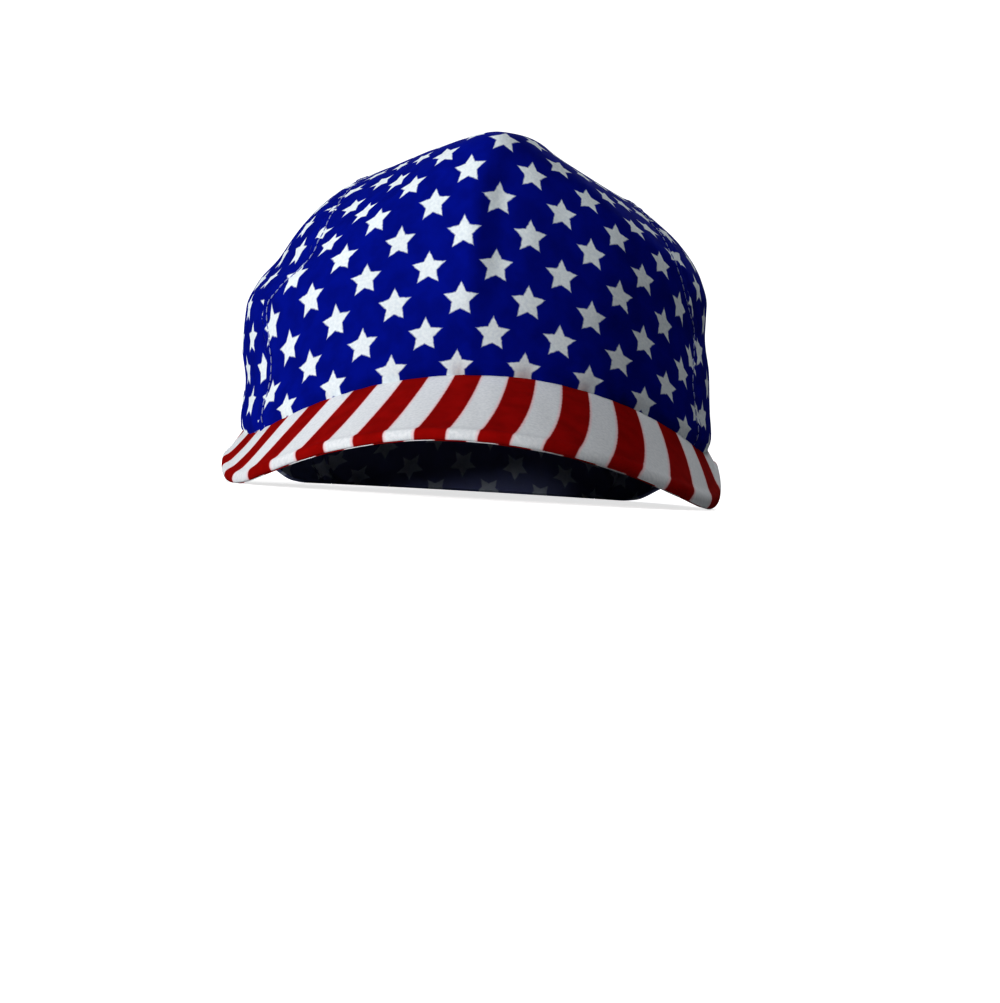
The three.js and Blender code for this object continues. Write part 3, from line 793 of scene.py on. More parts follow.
def crown_relief(crown, sizes):
    """How far the cloth stands off the plain crown: folds, seam, rolled front edge, hem and soft waves."""
    grid = crown["grid"]
    d = crown["from_seam"]
    above = crown["above"]
    angle = np.abs(np.degrees(crown["turn"]))
    front = 1 - smoothstep(angle, *FRONT_ANGLES)
    behind = 1 - front
    rise = fold_rise(grid, sizes.fold_strength)
    seam = sizes.seam_depth / MM
    rise -= seam * hump(d, SEAM_WIDTH)
    rise += RIDGE_SHARE * seam * smoothstep(-d, *RIDGE_RISES) * (1 - smoothstep(-d, *RIDGE_FALLS))
    rise -= GROOVE_SHARE * seam * hump(d + sizes.topstitch_inset / MM, GROOVE_WIDTH)
    pucker = swaying_wave(crown["along_seam"], **PUCKER_WAVE)
    rise += sizes.pucker / MM * pucker * np.exp(-np.abs(d) / PUCKER_REACH)
    roll = above / ROLL_HEIGHT
    rise += front * sizes.front_roll / MM * roll * np.exp(1 - roll)
    rise -= front * TUCK_DEPTH * hump(above, TUCK_HEIGHT)
    gather = swaying_wave(crown["turn"] * GATHER_RADIUS, **GATHER_WAVE)
    rise += front * FRONT_GATHER * gather * np.exp(-above / FRONT_GATHER_REACH)
    hem = sizes.hem_stitch_height / MM
    rise += behind * HEM_STEP * (1 - smoothstep(above, hem + HEM_STEP_ENDS[0], hem + HEM_STEP_ENDS[1]))
    rise -= behind * HEM_STEP * hump(above - hem, HEM_GROOVE_WIDTH)
    rise += behind * HEM_GATHER * gather * np.exp(-np.abs(above - hem) / HEM_GATHER_REACH)
    wide = soft_noise(grid, **CROWN_WAVE)
    fine = soft_noise(grid, **CROWN_RIPPLE)
    slack = TIGHT_SHARE + (1 - TIGHT_SHARE) * smoothstep(grid[..., 1], *TIGHT_REACH)
    rise += slack * (sizes.slackness / MM * wide + RIPPLE_HEIGHT * fine)
    below_top = 1 - smoothstep(grid[..., 2] - CROWN_TOP, *CALM_REACH)
    return rise * (CALM_SHARE + (1 - CALM_SHARE) * below_top)


def crown_skin(crown, rise, sizes):
    """The outer face of the cloth: the plain crown with its relief, and its crests to the front."""
    skin = crown["grid"] + crown["normal"] * rise[..., None]
    for crest, height, _ in crest_shares(crown["grid"]):
        skin[..., 1] -= sizes.fold_strength * crest["forward"] * height
    return skin


def dressed_crown(sizes):
    """The crown's grid and the outer face of its cloth."""
    crown = crown_grid(sizes)
    return crown, crown_skin(crown, crown_relief(crown, sizes), sizes)


def cut_along_seam(points, values, faces, inside):
    """Points, values and faces of the part where inside is above zero, with new points on the cut."""
    points = list(points)
    values = list(values)
    inside = np.where(np.abs(inside) < CUT_SNAP, 0, inside)
    cut = {}
    kept = []

    def crossing(a, b):
        key = (min(a, b), max(a, b))
        if key not in cut:
            t = inside[key[0]] / (inside[key[0]] - inside[key[1]])
            cut[key] = len(points)
            points.append(points[key[0]] * (1 - t) + points[key[1]] * t)
            values.append(values[key[0]] * (1 - t) + values[key[1]] * t)
        return cut[key]

    for face in faces:
        signs = [inside[v] for v in face]
        if max(signs) <= 0:
            continue
        if min(signs) >= 0:
            kept.append(face)
        else:
            part = []
            for a, b in zip(face, face[1:] + face[:1]):
                if inside[a] >= 0:
                    part.append(a)
                if inside[a] * inside[b] < 0:
                    part.append(crossing(a, b))
            if len(part) > 2:
                kept.append(part)
    return np.array(points), np.array(values), kept


def only_used(points, values, faces):
    """Drops the points and values that no face needs."""
    used = np.unique(np.concatenate([np.array(face) for face in faces]))
    order = np.full(len(points), -1)
    order[used] = np.arange(len(used))
    return points[used], values[used], [order[face].tolist() for face in faces]


# Node helpers


class Wire:
    """A shader socket or number that takes part in sums as a number does."""

    def __init__(self, tree, value):
        self.tree = tree
        self.value = value

    def node(self, kind, inputs, settings=None, output=0):
        """Adds a node, sets it up, joins its inputs by name or place, and returns one of its outputs."""
        made = self.tree.nodes.new(kind)
        for key, value in (settings or {}).items():
            setattr(made, key, value)
        for key, value in inputs.items():
            join(self.tree, value, made.inputs[key])
        return Wire(self.tree, made.outputs[output])

    def math(self, operation, *others):
        places = dict(enumerate((self, *others)))
        return self.node("ShaderNodeMath", places, {"operation": operation})

    def __add__(self, other):
        return self.math("ADD", other)

    def __radd__(self, other):
        return Wire(self.tree, other).math("ADD", self)

    def __sub__(self, other):
        return self.math("SUBTRACT", other)

    def __rsub__(self, other):
        return Wire(self.tree, other).math("SUBTRACT", self)

    def __mul__(self, other):
        return self.math("MULTIPLY", other)

    def __rmul__(self, other):
        return Wire(self.tree, other).math("MULTIPLY", self)

    def __truediv__(self, other):
        return self.math("DIVIDE", other)

    def __rtruediv__(self, other):
        return Wire(self.tree, other).math("DIVIDE", self)

    def __abs__(self):
        return self.math("ABSOLUTE")

    def ramp(self, low, high):
        """0 below low, 1 above high and a soft step between them."""
        inputs = {"Value": self, "From Min": low, "From Max": high}
        return self.node("ShaderNodeMapRange", inputs, {"interpolation_type": "SMOOTHSTEP"})

    def blend(self, first, second):
        """Colour that is first where this is 0 and second where it is 1."""
        inputs = {"Factor": self, 6: first, 7: second}
        return self.node("ShaderNodeMix", inputs, {"data_type": "RGBA"}, output=2)


def join(tree, value, socket):
    """Links a wire or socket to a socket, or sets it to a plain value."""
    if isinstance(value, Wire):
        value = value.value
    if isinstance(value, bpy.types.NodeSocket):
        tree.links.new(value, socket)
    else:
        socket.default_value = value


def colour4(colour):
    """A colour with the fourth value that its socket takes."""
    return (*colour, 1.0)


def new_material(name, roughness, sheen, specular):
    """Material with one shader, whose surface is the same all over until it is joined to more nodes."""
    material = bpy.data.materials.new(name)
    material.use_nodes = True
    tree = material.node_tree
    tree.nodes.clear()
    output = tree.nodes.new("ShaderNodeOutputMaterial")
    shader = tree.nodes.new("ShaderNodeBsdfPrincipled")
    shader.inputs["Roughness"].default_value = roughness
    shader.inputs["Sheen Weight"].default_value = sheen
    shader.inputs["Sheen Roughness"].default_value = SHEEN_ROUGHNESS
    shader.inputs["Specular IOR Level"].default_value = specular
    tree.links.new(shader.outputs[0], output.inputs["Surface"])
    return material, tree, shader


def map_place(tree, layer):
    """The place in a UV map and its two parts, as wires."""
    start = Wire(tree, 0.0)
    place = start.node("ShaderNodeUVMap", {}, {"uv_map": layer})
    x = place.node("ShaderNodeSeparateXYZ", {0: place})
    y = Wire(tree, x.value.node.outputs[1])
    return place, x, y


def object_place(tree):
    """The place in the piece's own space, as a wire."""
    return Wire(tree, 0.0).node("ShaderNodeTexCoord", {}, output=3)


def noise_wire(place, scale, detail):
    """Noise about 0.5 by place, as a wire."""
    return place.node("ShaderNodeTexNoise", {"Vector": place, "Scale": scale, "Detail": detail})


def add_bump(tree, shader, height, strength, distance):
    """Joins a height to the shader's normal as bump."""
    bump = height.node("ShaderNodeBump", {"Height": height, "Strength": strength, "Distance": distance})
    tree.links.new(bump.value, shader.inputs["Normal"])


def camera_split(tree, lighting, seen, surface):
    """Joins surface to one shader for what lights the cap and to another for what the camera sees."""
    ray = tree.nodes.new("ShaderNodeLightPath")
    mix = tree.nodes.new("ShaderNodeMixShader")
    tree.links.new(ray.outputs["Is Camera Ray"], mix.inputs[0])
    tree.links.new(lighting.outputs[0], mix.inputs[1])
    tree.links.new(seen.outputs[0], mix.inputs[2])
    tree.links.new(mix.outputs[0], surface)


# Finishes of the cloth and the thread


def weave(tree, shader, sizes):
    """Plain weave as bump. Returns wires for its threads, their slubs and the crumples of the cloth."""
    place, x, y = map_place(tree, "weave")
    count = 2 * math.pi / (sizes.thread_pitch / MM)
    warp = (x * count).math("SINE")
    weft = (y * count).math("SINE")
    slub = noise_wire(place, scale=0.9, detail=3.0)
    crumple = noise_wire(place, scale=0.12, detail=2.0)
    threads = warp * weft * 0.5 + slub
    height = threads * sizes.weave_depth + crumple * (CRUMPLE_DEPTH * sizes.weave_depth)
    add_bump(tree, shader, height, strength=1.0, distance=1.0)
    return threads, slub, crumple


def thread_shaded(tree, shader, printed, threads):
    """Joins a printed colour to the shader, with painted shade a little darker between the threads, and
    random tone from the slubs.
    """
    # Painted shade between the threads of the weave, plus random tone where the slubs are thin.
    shade = (threads * SHADE_DEPTH + SHADE_MIDDLE).math("MINIMUM", SHADE_MOST)
    tinted = printed.node("ShaderNodeVectorMath", {0: printed, 3: shade}, {"operation": "SCALE"})
    tree.links.new(tinted.value, shader.inputs["Base Color"])


def star_distance(x, y, reach, waist):
    """Signed distance in millimetres to the edge of a five-armed star with one arm up, below 0 inside."""
    arm = 2 * math.pi / 5
    angle = x.math("ARCTAN2", y)
    turned = (angle + (arm / 2 + 2 * arm)).math("FLOORED_MODULO", arm) - arm / 2
    folded = abs(turned)
    radius = (x * x + y * y).math("SQRT")
    run_x = waist * reach * math.cos(arm / 2) - reach
    run_y = waist * reach * math.sin(arm / 2)
    size = math.hypot(run_x, run_y)
    along = radius * folded.math("COSINE")
    across = radius * folded.math("SINE")
    return (along - reach) * (run_y / size) + across * (-run_x / size)


def star_cloth(name, look, sizes, reverse):
    """Blue cotton with white stars in offset rows. Its reverse is the same print, paler and softer."""
    material, tree, shader = new_material(name, **CLOTH_LOOK)
    threads, slub, crumple = weave(tree, shader, sizes)
    place, column, row = map_place(tree, "print")
    wander = noise_wire(place, scale=9.0, detail=1.0)
    distance = None
    for shift in (0.0, 1.0):
        x = ((column + (1.0 + shift)).math("FLOORED_MODULO", 2.0) - 1.0) * STAR_COLUMN_PITCH
        y = ((row + (1.0 + shift)).math("FLOORED_MODULO", 2.0) - 1.0) * STAR_ROW_PITCH
        one = star_distance(x, y, sizes.star_reach / MM, sizes.star_waist)
        distance = one if distance is None else distance.math("MINIMUM", one)
    distance = distance + (wander - 0.5) * STAR_WANDER
    mask = 1.0 - distance.ramp(-sizes.print_blur / MM, sizes.print_blur / MM)
    ground = crumple.ramp(*CRUMPLE_TONES).blend(colour4(look.blue_deep), colour4(look.blue))
    white = slub.ramp(*SLUB_TONES).blend(colour4(look.star_shade), colour4(look.star_white))
    printed = mask.blend(ground, white)
    if reverse:
        printed = Wire(tree, REVERSE_SHARE).blend(printed, colour4(look.reverse_tint))
    thread_shaded(tree, shader, printed, threads)
    return material


def stripe_cloth(name, look, sizes, shift):
    """White cotton with red printed stripes, whose edges bleed a little pink into the white."""
    material, tree, shader = new_material(name, **CLOTH_LOOK)
    threads, slub, crumple = weave(tree, shader, sizes)
    place, stripe, _ = map_place(tree, "print")
    wander = noise_wire(place, scale=6.0, detail=1.0)
    near_red = abs((stripe + (0.5 + shift)).math("FLOORED_MODULO", 2.0) - 1.0)
    away = (near_red - 0.5) * STRIPE_WIDTH + (wander - 0.5) * STRIPE_WANDER
    red_share = 1.0 - away.ramp(-sizes.print_blur / MM, sizes.print_blur / MM)
    bleed = 1.0 - away.ramp(*BLEED_REACH)
    red = crumple.ramp(*CRUMPLE_TONES).blend(colour4(look.red_deep), colour4(look.red))
    white = slub.ramp(*SLUB_TONES).blend(colour4(look.stripe_shade), colour4(look.stripe_white))
    pinked = (bleed * BLEED_SHARE).blend(white, colour4(look.bleed_pink))
    thread_shaded(tree, shader, red_share.blend(pinked, red), threads)
    return material


def thread_material(name, colour):
    """Twisted sewing thread."""
    material, tree, shader = new_material(name, **THREAD_LOOK)
    fleck = noise_wire(object_place(tree), scale=2500.0, detail=1.0)
    dark = tuple(THREAD_DARK * part for part in colour)
    tinted = fleck.ramp(*FLECK_TONES).blend(colour4(dark), colour4(colour))
    tree.links.new(tinted.value, shader.inputs["Base Color"])
    add_bump(tree, shader, fleck, strength=0.3, distance=0.2 * MM)
    return material


# Stitches


def stitch_tree():
    """Geometry Nodes: a row of short raised stitches along a line."""
    tree = bpy.data.node_groups.new("stitch_row", "GeometryNodeTree")
    face = tree.interface
    face.new_socket("Line", in_out="INPUT", socket_type="NodeSocketGeometry")
    for name in ("Stitch Pitch", "Stitch Length", "Thread Radius"):
        face.new_socket(name, in_out="INPUT", socket_type="NodeSocketFloat")
    face.new_socket("Thread", in_out="INPUT", socket_type="NodeSocketMaterial")
    face.new_socket("Stitches", in_out="OUTPUT", socket_type="NodeSocketGeometry")
    group_in = tree.nodes.new("NodeGroupInput")
    group_out = tree.nodes.new("NodeGroupOutput")
    start = Wire(tree, group_in.outputs["Line"])
    line = start.node("GeometryNodeMeshToCurve", {0: start})
    spaced = line.node(
        "GeometryNodeResampleCurve",
        {"Curve": line, "Length": Wire(tree, group_in.outputs["Stitch Pitch"])},
        {"mode": "LENGTH"},
    )
    tangent = line.node("GeometryNodeInputTangent", {})
    turned = tangent.node("FunctionNodeAlignRotationToVector", {"Vector": tangent}, {"axis": "X"})
    radius = Wire(tree, group_in.outputs["Thread Radius"])
    bead = line.node("GeometryNodeMeshUVSphere", {"Segments": 6, "Rings": 5, "Radius": radius})
    ratio = Wire(tree, group_in.outputs["Stitch Length"]) / radius * 0.5
    scale = ratio.node("ShaderNodeCombineXYZ", {"X": ratio, "Y": 1.0, "Z": 1.0})
    smooth = bead.node("GeometryNodeSetShadeSmooth", {"Geometry": bead})
    row = spaced.node(
        "GeometryNodeInstanceOnPoints",
        {"Points": spaced, "Instance": smooth, "Rotation": turned, "Scale": scale},
    )
    real = row.node("GeometryNodeRealizeInstances", {"Geometry": row})
    threaded = real.node(
        "GeometryNodeSetMaterial",
        {"Geometry": real, "Material": Wire(tree, group_in.outputs["Thread"])},
    )
    tree.links.new(threaded.value, group_out.inputs["Stitches"])
    return tree


def stitch_row(name, line, tree, settings, material):
    """A row of stitches along a line of points in metres, as a plain mesh."""
    mesh = bpy.data.meshes.new(name)
    mesh.from_pydata([tuple(p) for p in line], [(k, k + 1) for k in range(len(line) - 1)], [])
    piece = bpy.data.objects.new(name, mesh)
    bpy.context.scene.collection.objects.link(piece)
    modifier = piece.modifiers.new("stitches", "NODES")
    modifier.node_group = tree
    wanted = {**settings, "Thread": material}
    for item in tree.interface.items_tree:
        if item.in_out == "INPUT" and item.name in wanted:
            modifier[item.identifier] = wanted[item.name]
    settle_modifiers(piece, NEVER_SHARP)
    finish_piece(piece, "star_cloth")


# Properties


def length_property(name, description, default, **limits):
    """Property for a length, with its default in millimetres."""
    return FloatProperty(
        name=name, description=description, default=default * MM, unit="LENGTH", subtype="DISTANCE", **limits
    )


def colour_property(name, description, default):
    """Property for the colour of a finish."""
    return FloatVectorProperty(
        name=name, description=description, default=default, subtype="COLOR", size=3, min=0, max=1
    )


class CapSizes(bpy.types.PropertyGroup):
    """Sizes of the cloth, its folds, its print and its stitches."""

    cloth_wall: length_property("Cloth wall", "Thickness of the sewn cloth", 1.5, min=0.5 * MM, max=3 * MM)
    fold_strength: FloatProperty(
        name="Folds", description="How strongly the folds of the crown stand out", default=1.0, min=0, max=2,
    )
    slackness: length_property("Slackness", "Height of the slow waves in the cloth", 0.9)
    seam_depth: length_property("Seam depth", "How deep the side seams sink in", 0.9)
    pucker: length_property("Pucker", "Height of the small puckers along the side seams", 0.28)
    front_roll: length_property("Front roll", "How far the crown rolls out over the peak seam", 0.7)
    lid_rise: length_property("Top rise", "Rise of the crown's very top", 0.5)
    topstitch_inset: length_property("Topstitch inset", "From a side seam to its row of topstitches", 5.5)
    hem_stitch_height: length_property("Hem height", "Height of the row of stitches along the hem", 10)
    stitch_pitch: length_property("Stitch pitch", "From one stitch to the next", 3.0)
    stitch_length: length_property("Stitch length", "Length of one stitch", 2.75)
    thread_radius: length_property("Thread radius", "Half the thickness of the sewing thread", 0.28)
    star_reach: length_property("Star reach", "From the middle of a star to a tip", 5.75)
    star_waist: FloatProperty(
        name="Star waist", description="Inner radius of a star as a share of its reach", default=0.51,
        min=0.3, max=0.8, subtype="FACTOR",
    )
    print_blur: length_property("Print blur", "Half width of the soft edge of the print", 0.32)
    left_print_round: FloatProperty(
        name="Left print round", default=-0.25,
        description="Star columns that the left side print is moved by",
    )
    left_print_up: FloatProperty(
        name="Left print up", description="Star rows that the left side print is moved by", default=-0.64,
    )
    right_print_round: FloatProperty(
        name="Right print round", default=0.0,
        description="Star columns that the right side print is moved by",
    )
    right_print_up: FloatProperty(
        name="Right print up", description="Star rows that the right side print is moved by", default=0.0,
    )
    thread_pitch: length_property("Thread pitch", "From one thread of the weave to the next", 0.55)
    weave_depth: FloatProperty(
        name="Weave depth", description="Height of the weave in the bump, in metres", default=0.00003,
        precision=6,
    )


class CapColours(bpy.types.PropertyGroup):
    """Colours of the print, the thread and the floor."""

    blue: colour_property("Blue", "Printed ground of the crown", (0.001, 0.008, 0.26))
    blue_deep: colour_property("Deep blue", "Darker patches of the ground", (0.0008, 0.006, 0.205))
    star_white: colour_property("Star white", "Stars", (0.80, 0.86, 0.88))
    star_shade: colour_property("Star shade", "Darker threads in the stars", (0.70, 0.77, 0.82))
    red: colour_property("Red", "Red stripes", (0.30, 0.004, 0.003))
    red_deep: colour_property("Deep red", "Darker patches of the red stripes", (0.24, 0.003, 0.002))
    stripe_white: colour_property("Stripe white", "White stripes", (0.76, 0.78, 0.80))
    stripe_shade: colour_property(
        "Stripe shade", "Darker threads in the white stripes", (0.66, 0.69, 0.72)
    )
    bleed_pink: colour_property("Bleed", "Where the red bleeds into the white", (0.85, 0.42, 0.44))
    reverse_tint: colour_property("Reverse", "Tint of the unprinted side of the cloth", (0.30, 0.33, 0.48))
    thread: colour_property("Thread", "Sewing thread", (0.30, 0.34, 0.62))
    floor: colour_property("Floor", "Floor that the cap rests on", (0.9, 0.9, 0.9))


# Operators


class CAP_OT_crown(bpy.types.Operator):
    """Makes the middle panel, the two side panels and the strips of cloth behind their seams"""

    bl_idname = "cap.crown"
    bl_label = "Crown panels"

    def execute(self, context):
        sizes = context.scene.cap_sizes
        look = context.scene.cap_colours
        crown, skin = dressed_crown(sizes)
        foot_turn = crown["turn"][:, 0]
        on_peak = 1 - smoothstep(np.abs(np.degrees(foot_turn)), *SUNK_FRONT_REACH)
        hem = hem_height(foot_turn, skin[:, 0, 0], skin[:, 0, 1])
        skin[:, 0, 2] = hem - SUNK_FRONT * on_peak
        middle_place = middle_print(crown["grid"], cloth_lengths())
        side_place = side_print(crown["turn"], crown["above"], crown["foot"], sizes)
        columns, rows = skin.shape[:2]
        points = skin.reshape(-1, 3)
        values = np.concatenate([middle_place, side_place], axis=-1).reshape(-1, 4)
        inside = crown["inside"].ravel()
        faces = []
        for i in range(columns):
            for j in range(rows - 1):
                a = i * rows + j
                b = ((i + 1) % columns) * rows + j
                faces.append([a, b, b + 1, a + 1])
        panel_cut = cut_along_seam(points, values, faces, inside - SEAM_GAP / 2)
        middle_cut = cut_along_seam(points, values, faces, -inside - SEAM_GAP / 2)
        depth = sizes.cloth_wall / MM + SEAM_GAP / 2
        inner = (skin - crown["normal"] * depth).reshape(-1, 3)
        band = ALLOWANCE_HALF - np.abs(crown["from_seam"]).ravel()
        band_cut = cut_along_seam(inner, values, faces, band)
        outside = star_cloth("star_cloth", look, sizes, False)
        reverse = star_cloth("star_cloth_reverse", look, sizes, True)
        self.panel("middle_panel", middle_cut, 0, (0, 1), sizes.cloth_wall, (outside, reverse))
        thin_wall = sizes.cloth_wall / ALLOWANCE_THINNER
        for name, side in (("left", -1), ("right", 1)):
            self.panel(name + "_side_panel", panel_cut, side, (2, 3), sizes.cloth_wall, (outside, reverse))
            self.panel(name + "_allowance", band_cut, side, (2, 3), thin_wall, (reverse, reverse))
        return {"FINISHED"}

    def panel(self, name, cut, side, pair, wall, materials):
        """One piece of cloth from the cut faces, or from those on one side, with one pair of print places."""
        points, values, faces = cut
        chosen = [face for face in faces if points[face[0], 0] * side >= 0]
        spots, places, order = only_used(points, values, chosen)
        places = places[:, list(pair)]
        layers = {"print": places, "weave": places * (STAR_COLUMN_PITCH, STAR_ROW_PITCH)}
        piece = new_piece(name + "_cloth", spots, order, layers, materials)
        self.close_pole(piece)
        add_wall(piece, wall)
        settle_modifiers(piece, CROWN_SHARP)
        nodes = () if name.endswith("allowance") else (name,)
        finish_piece(piece, "star_cloth", *nodes)

    def close_pole(self, piece):
        """Joins the points that meet in one place at the top, and drops the faces this flattens."""
        work = bmesh.new()
        work.from_mesh(piece.data)
        bmesh.ops.remove_doubles(work, verts=work.verts, dist=SAME_POINT)
        bmesh.ops.dissolve_degenerate(work, edges=work.edges, dist=FLAT_FACE)
        work.to_mesh(piece.data)
        work.free()


class CAP_OT_peak(bpy.types.Operator):
    """Makes the top cover and the under cover of the peak"""

    bl_idname = "cap.peak"
    bl_label = "Peak covers"

    def execute(self, context):
        sizes = context.scene.cap_sizes
        look = context.scene.cap_colours
        top = stripe_cloth("stripe_cloth", look, sizes, 0.0)
        under = stripe_cloth("stripe_cloth_under", look, sizes, UNDER_STRIPE_SHIFT)
        self.cover("peak_top", TOP_TURN, (PEAK_FACE_LIFT, PEAK_INNER_LIFT), top)
        self.cover("peak_under", UNDER_TURN, (-PEAK_INNER_LIFT, -PEAK_FACE_LIFT), under)
        return {"FINISHED"}

    def cover(self, name, turn_rows, lifts, material):
        """One cover as a closed ring of rows: its outer face, the turn round the edge, and its inner face."""
        angle = np.linspace(-PEAK_END_ANGLE, PEAK_END_ANGLE, PEAK_STEPS + 1)
        radians = np.radians(angle)
        foot = crown_point(radians, np.full(len(angle), float(RIM_SECTION_LEVEL)))
        seam = board_place(foot[:, 0], foot[:, 1])
        turn = radians / math.radians(PEAK_END_ANGLE) * (math.pi / 2)
        edge = peak_edge(turn)
        run = edge - seam
        length = np.linalg.norm(run, axis=1)
        run = run / length[:, None]
        face_rows = np.linspace(0, 1, PEAK_FACE_ROWS + 1)[:-1]
        insets = {"face": turn_rows[0][0], "back": turn_rows[-1][0]}
        profile = [("face", share, lifts[0]) for share in face_rows]
        profile += [("turn", inset, lift) for inset, lift in turn_rows]
        profile += [("back", share, lifts[1]) for share in face_rows[::-1]]
        points = []
        prints = []
        weaves = []
        for kind, value, lift in profile:
            if kind == "turn":
                ahead = length - np.minimum(value, length * TURN_SHARE)
            else:
                end = length - np.minimum(insets[kind], length * TURN_SHARE)
                ahead = -SEAM_TUCK + (end + SEAM_TUCK) * value
            place = seam + run * ahead[:, None]
            share = ahead / length
            point = board_point(place[:, 0], place[:, 1], lift)
            point[:, 2] -= PEAK_LEAN * np.sin(2 * turn) * np.maximum(share, 0) ** 2
            points.append(point)
            prints.append(stripe_print(place, ahead))
            weaves.append(place)
        grid = np.stack(points, axis=1)
        prints = np.stack(prints, axis=1).reshape(-1, 2)
        weaves = np.stack(weaves, axis=1).reshape(-1, 2)
        grid[..., 2] += self.softness(grid)
        columns, rows = grid.shape[:2]
        faces = []
        for i in range(columns - 1):
            for j in range(rows):
                a = i * rows + j
                b = i * rows + (j + 1) % rows
                faces.append([a, b, b + rows, a + rows][::-1])
        faces.append(list(range(rows))[::-1])
        faces.append([(columns - 1) * rows + j for j in range(rows)])
        layers = {"print": prints, "weave": weaves}
        piece = new_piece(name + "_cloth", grid.reshape(-1, 3), faces, layers, (material,))
        self.turn_outwards(piece)
        piece.data.set_sharp_from_angle(angle=PEAK_SHARP)
        finish_piece(piece, "stripe_cloth", name)

    def softness(self, grid):
        """Height of the cloth's soft waves over the board, and of the finer ripples across it."""
        wave = soft_noise(grid, PEAK_WAVE["reach"], PEAK_WAVE["seed"])
        ripple = soft_noise(grid * PEAK_RIPPLE_STRETCH, PEAK_RIPPLE["reach"], PEAK_RIPPLE["seed"])
        return PEAK_WAVE["height"] * wave + PEAK_RIPPLE["height"] * ripple

    def turn_outwards(self, piece):
        """Makes the faces of a closed piece point outwards."""
        work = bmesh.new()
        work.from_mesh(piece.data)
        bmesh.ops.recalc_face_normals(work, faces=work.faces)
        work.to_mesh(piece.data)
        work.free()


class CAP_OT_stitches(bpy.types.Operator):
    """Makes the rows of topstitches beside the side seams and along the hem"""

    bl_idname = "cap.stitches"
    bl_label = "Topstitches"

    def execute(self, context):
        sizes = context.scene.cap_sizes
        thread = thread_material("sewing_thread", tuple(context.scene.cap_colours.thread))
        tree = stitch_tree()
        settings = {
            "Stitch Pitch": sizes.stitch_pitch,
            "Stitch Length": sizes.stitch_length,
            "Thread Radius": sizes.thread_radius,
        }
        crown, skin = dressed_crown(sizes)
        skin = (skin + CENTRE_SHIFT) * MM
        inset = sizes.topstitch_inset / MM
        for name, side in (("left_topstitch", -1), ("right_topstitch", 1)):
            line = self.level_line(crown, skin, -inset, side)
            if len(line) < 2:
                raise RuntimeError("no line was found for " + name)
            stitch_row(name, line, tree, settings, thread)
        line = self.hem_line(crown, skin, sizes.hem_stitch_height / MM)
        stitch_row("hem_topstitch", line, tree, settings, thread)
        return {"FINISHED"}

    def level_line(self, crown, skin, inset, side):
        """Points where the distance from the seam equals inset, in order along the seam."""
        d = crown["from_seam"]
        spots = []
        for axis in (0, 1):
            a = d if axis == 0 else d[:, :-1]
            b = np.roll(d, -1, axis=0) if axis == 0 else d[:, 1:]
            p = skin if axis == 0 else skin[:, :-1]
            q = np.roll(skin, -1, axis=0) if axis == 0 else skin[:, 1:]
            s = crown["along_seam"] if axis == 0 else crown["along_seam"][:, :-1]
            n = crown["normal"] if axis == 0 else crown["normal"][:, :-1]
            hit = ((a - inset) * (b - inset) < 0) & (p[..., 0] * side > 0)
            t = ((inset - a) / np.where(hit, b - a, 1))[..., None]
            cross = p * (1 - t) + q * t + n * THREAD_LIFT
            spots += [(s[k], *cross[k]) for k in zip(*np.nonzero(hit))]
        spots.sort()
        line = []
        for _, x, y, z in spots:
            here = Vector((x, y, z))
            if not line or (here - line[-1]).length > LINE_STEP:
                line.append(here)
        return line

    def hem_line(self, crown, skin, height):
        """Points at an even height above the hem, behind the peak."""
        line = []
        order = np.argsort(np.mod(crown["turn"][:, 0], 2 * math.pi))
        for i in order:
            if abs(math.degrees(crown["turn"][i, 0])) < HEM_LEAVES_PEAK + HEM_ROW_START:
                continue
            above = crown["above"][i]
            j = int(np.searchsorted(above, height)) - 1
            t = (height - above[j]) / (above[j + 1] - above[j])
            spot = skin[i, j] * (1 - t) + skin[i, j + 1] * t + crown["normal"][i, j] * THREAD_LIFT
            line.append(Vector(spot))
        return line


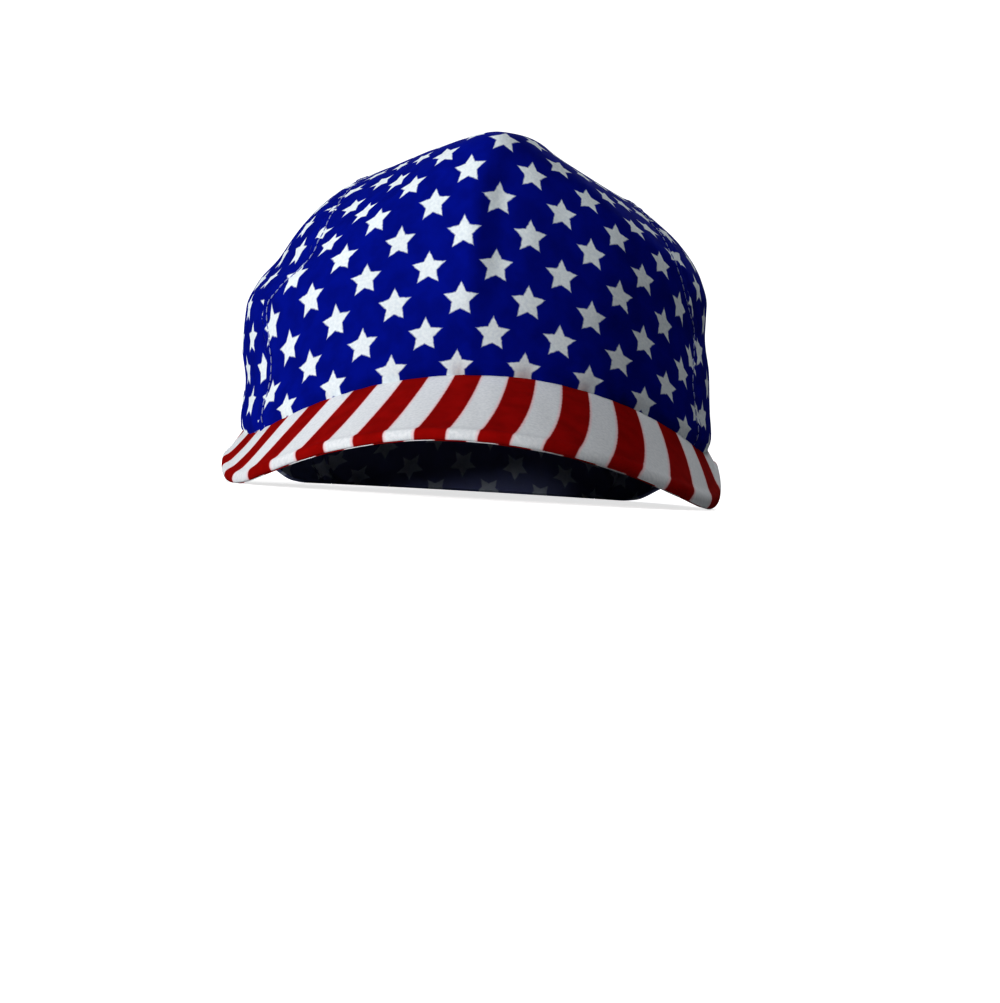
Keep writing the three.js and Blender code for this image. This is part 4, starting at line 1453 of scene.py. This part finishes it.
class CAP_OT_stage(bpy.types.Operator):
    """Makes the floor, the studio light and the camera"""

    bl_idname = "cap.stage"
    bl_label = "Stage"

    def execute(self, context):
        self.floor(context.scene.cap_colours)
        self.backdrop()
        for lamp in STUDIO_LIGHTS:
            self.area_light(**lamp)
        self.camera()
        context.scene.view_settings.view_transform = "Standard"
        context.scene.view_settings.look = "Medium High Contrast"
        return {"FINISHED"}

    def floor(self, look):
        """Pale floor whose painted glow, seen by the camera alone, fades it into the white room, and lights
        the cap as a grey one does.
        """
        mesh = bpy.data.meshes.new("floor")
        corners = [(x * FLOOR_HALF, y * FLOOR_HALF, 0) for x, y in ((-1, -1), (1, -1), (1, 1), (-1, 1))]
        mesh.from_pydata(corners, [], [(0, 1, 2, 3)])
        material, tree, shader = new_material("pale_floor", **FLOOR_LOOK)
        place = object_place(tree)
        darker = tuple(FLOOR_GRAIN * part for part in look.floor)
        tinted = noise_wire(place, scale=3.0, detail=2.0).blend(colour4(darker), colour4(look.floor))
        tree.links.new(tinted.value, shader.inputs["Base Color"])
        # Painted light: the floor glows for the camera, more the further it is from the cap.
        away = place.node("ShaderNodeVectorMath", {0: place}, {"operation": "LENGTH"}, output=1)
        glow = away.ramp(*FLOOR_GLOW_REACH).blend(colour4(FLOOR_GLOW), colour4(WHITE))
        tree.links.new(glow.value, shader.inputs["Emission Color"])
        shader.inputs["Emission Strength"].default_value = 1.0
        dull = tree.nodes.new("ShaderNodeBsdfDiffuse")
        dull.inputs["Color"].default_value = colour4(FLOOR_GREY)
        output = next(node for node in tree.nodes if node.type == "OUTPUT_MATERIAL")
        camera_split(tree, dull, shader, output.inputs["Surface"])
        mesh.materials.append(material)
        piece = bpy.data.objects.new("floor", mesh)
        bpy.context.scene.collection.objects.link(piece)

    def backdrop(self):
        """White room, which itself gives only a little light."""
        world = bpy.data.worlds.new("pale_room")
        bpy.context.scene.world = world
        world.use_nodes = True
        tree = world.node_tree
        tree.nodes.clear()
        output = tree.nodes.new("ShaderNodeOutputWorld")
        seen, lighting = (tree.nodes.new("ShaderNodeBackground") for _ in range(2))
        seen.inputs["Color"].default_value = colour4(WHITE)
        seen.inputs["Strength"].default_value = 1.0
        lighting.inputs["Color"].default_value = colour4(ROOM_LIGHT)
        lighting.inputs["Strength"].default_value = ROOM_LIGHT_STRENGTH
        camera_split(tree, lighting, seen, output.inputs["Surface"])

    def area_light(self, name, azimuth, elevation, distance, size, power):
        """Round lamp that looks at the cap from an azimuth, 0 in front, and an elevation in degrees."""
        light = bpy.data.lights.new(name, "AREA")
        light.shape = "DISK"
        light.size = size
        light.energy = power
        lamp = bpy.data.objects.new(name, light)
        turn = math.radians(azimuth)
        rise = math.radians(elevation)
        way = Vector((math.sin(turn) * math.cos(rise), -math.cos(turn) * math.cos(rise), math.sin(rise)))
        lamp.location = Vector(LIGHT_TARGET) + distance * way
        lamp.rotation_euler = way.to_track_quat("Z", "Y").to_euler()
        bpy.context.scene.collection.objects.link(lamp)

    def camera(self):
        """Camera at the photograph's angle, with its roll."""
        data = bpy.data.cameras.new("camera")
        data.sensor_fit = "HORIZONTAL"
        data.sensor_width = CAMERA_SENSOR
        data.lens = CAMERA_LENS
        data.clip_start = CAMERA_CLIP
        camera = bpy.data.objects.new("camera", data)
        target = Vector(CAMERA_TARGET) * MM
        away = Vector((
            math.sin(CAMERA_AZIMUTH) * math.cos(CAMERA_ELEVATION),
            -math.cos(CAMERA_AZIMUTH) * math.cos(CAMERA_ELEVATION),
            math.sin(CAMERA_ELEVATION),
        ))
        right = (-away).cross(Vector((0, 0, 1))).normalized()
        up = right.cross(-away)
        x = right * math.cos(CAMERA_ROLL) + up * math.sin(CAMERA_ROLL)
        y = up * math.cos(CAMERA_ROLL) - right * math.sin(CAMERA_ROLL)
        turned = Matrix((x, y, away)).transposed().to_4x4()
        turned.translation = target + away * CAMERA_DISTANCE * MM
        camera.matrix_world = turned
        bpy.context.scene.collection.objects.link(camera)
        bpy.context.scene.camera = camera


class CAP_PT_panel(bpy.types.Panel):
    """Lists the steps that make the cap, and its sizes and colours"""

    bl_idname = "CAP_PT_panel"
    bl_label = "Soft cotton cap"
    bl_space_type = "VIEW_3D"
    bl_region_type = "UI"
    bl_category = "Cap"

    def draw(self, context):
        layout = self.layout
        for step in STEPS:
            layout.operator(step.bl_idname)
        for group in (context.scene.cap_sizes, context.scene.cap_colours):
            box = layout.box()
            for name in group.__annotations__:
                box.prop(group, name)


STEPS = (CAP_OT_crown, CAP_OT_peak, CAP_OT_stitches, CAP_OT_stage)
CLASSES = (CapSizes, CapColours, *STEPS, CAP_PT_panel)


def register():
    for one in CLASSES:
        bpy.utils.register_class(one)
    bpy.types.Scene.cap_sizes = PointerProperty(type=CapSizes)
    bpy.types.Scene.cap_colours = PointerProperty(type=CapColours)


def unregister():
    del bpy.types.Scene.cap_colours
    del bpy.types.Scene.cap_sizes
    for one in reversed(CLASSES):
        bpy.utils.unregister_class(one)


def main():
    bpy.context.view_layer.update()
    register()
    bpy.ops.cap.crown()
    bpy.ops.cap.peak()
    bpy.ops.cap.stitches()
    bpy.ops.cap.stage()


if __name__ == "__main__":
    main()
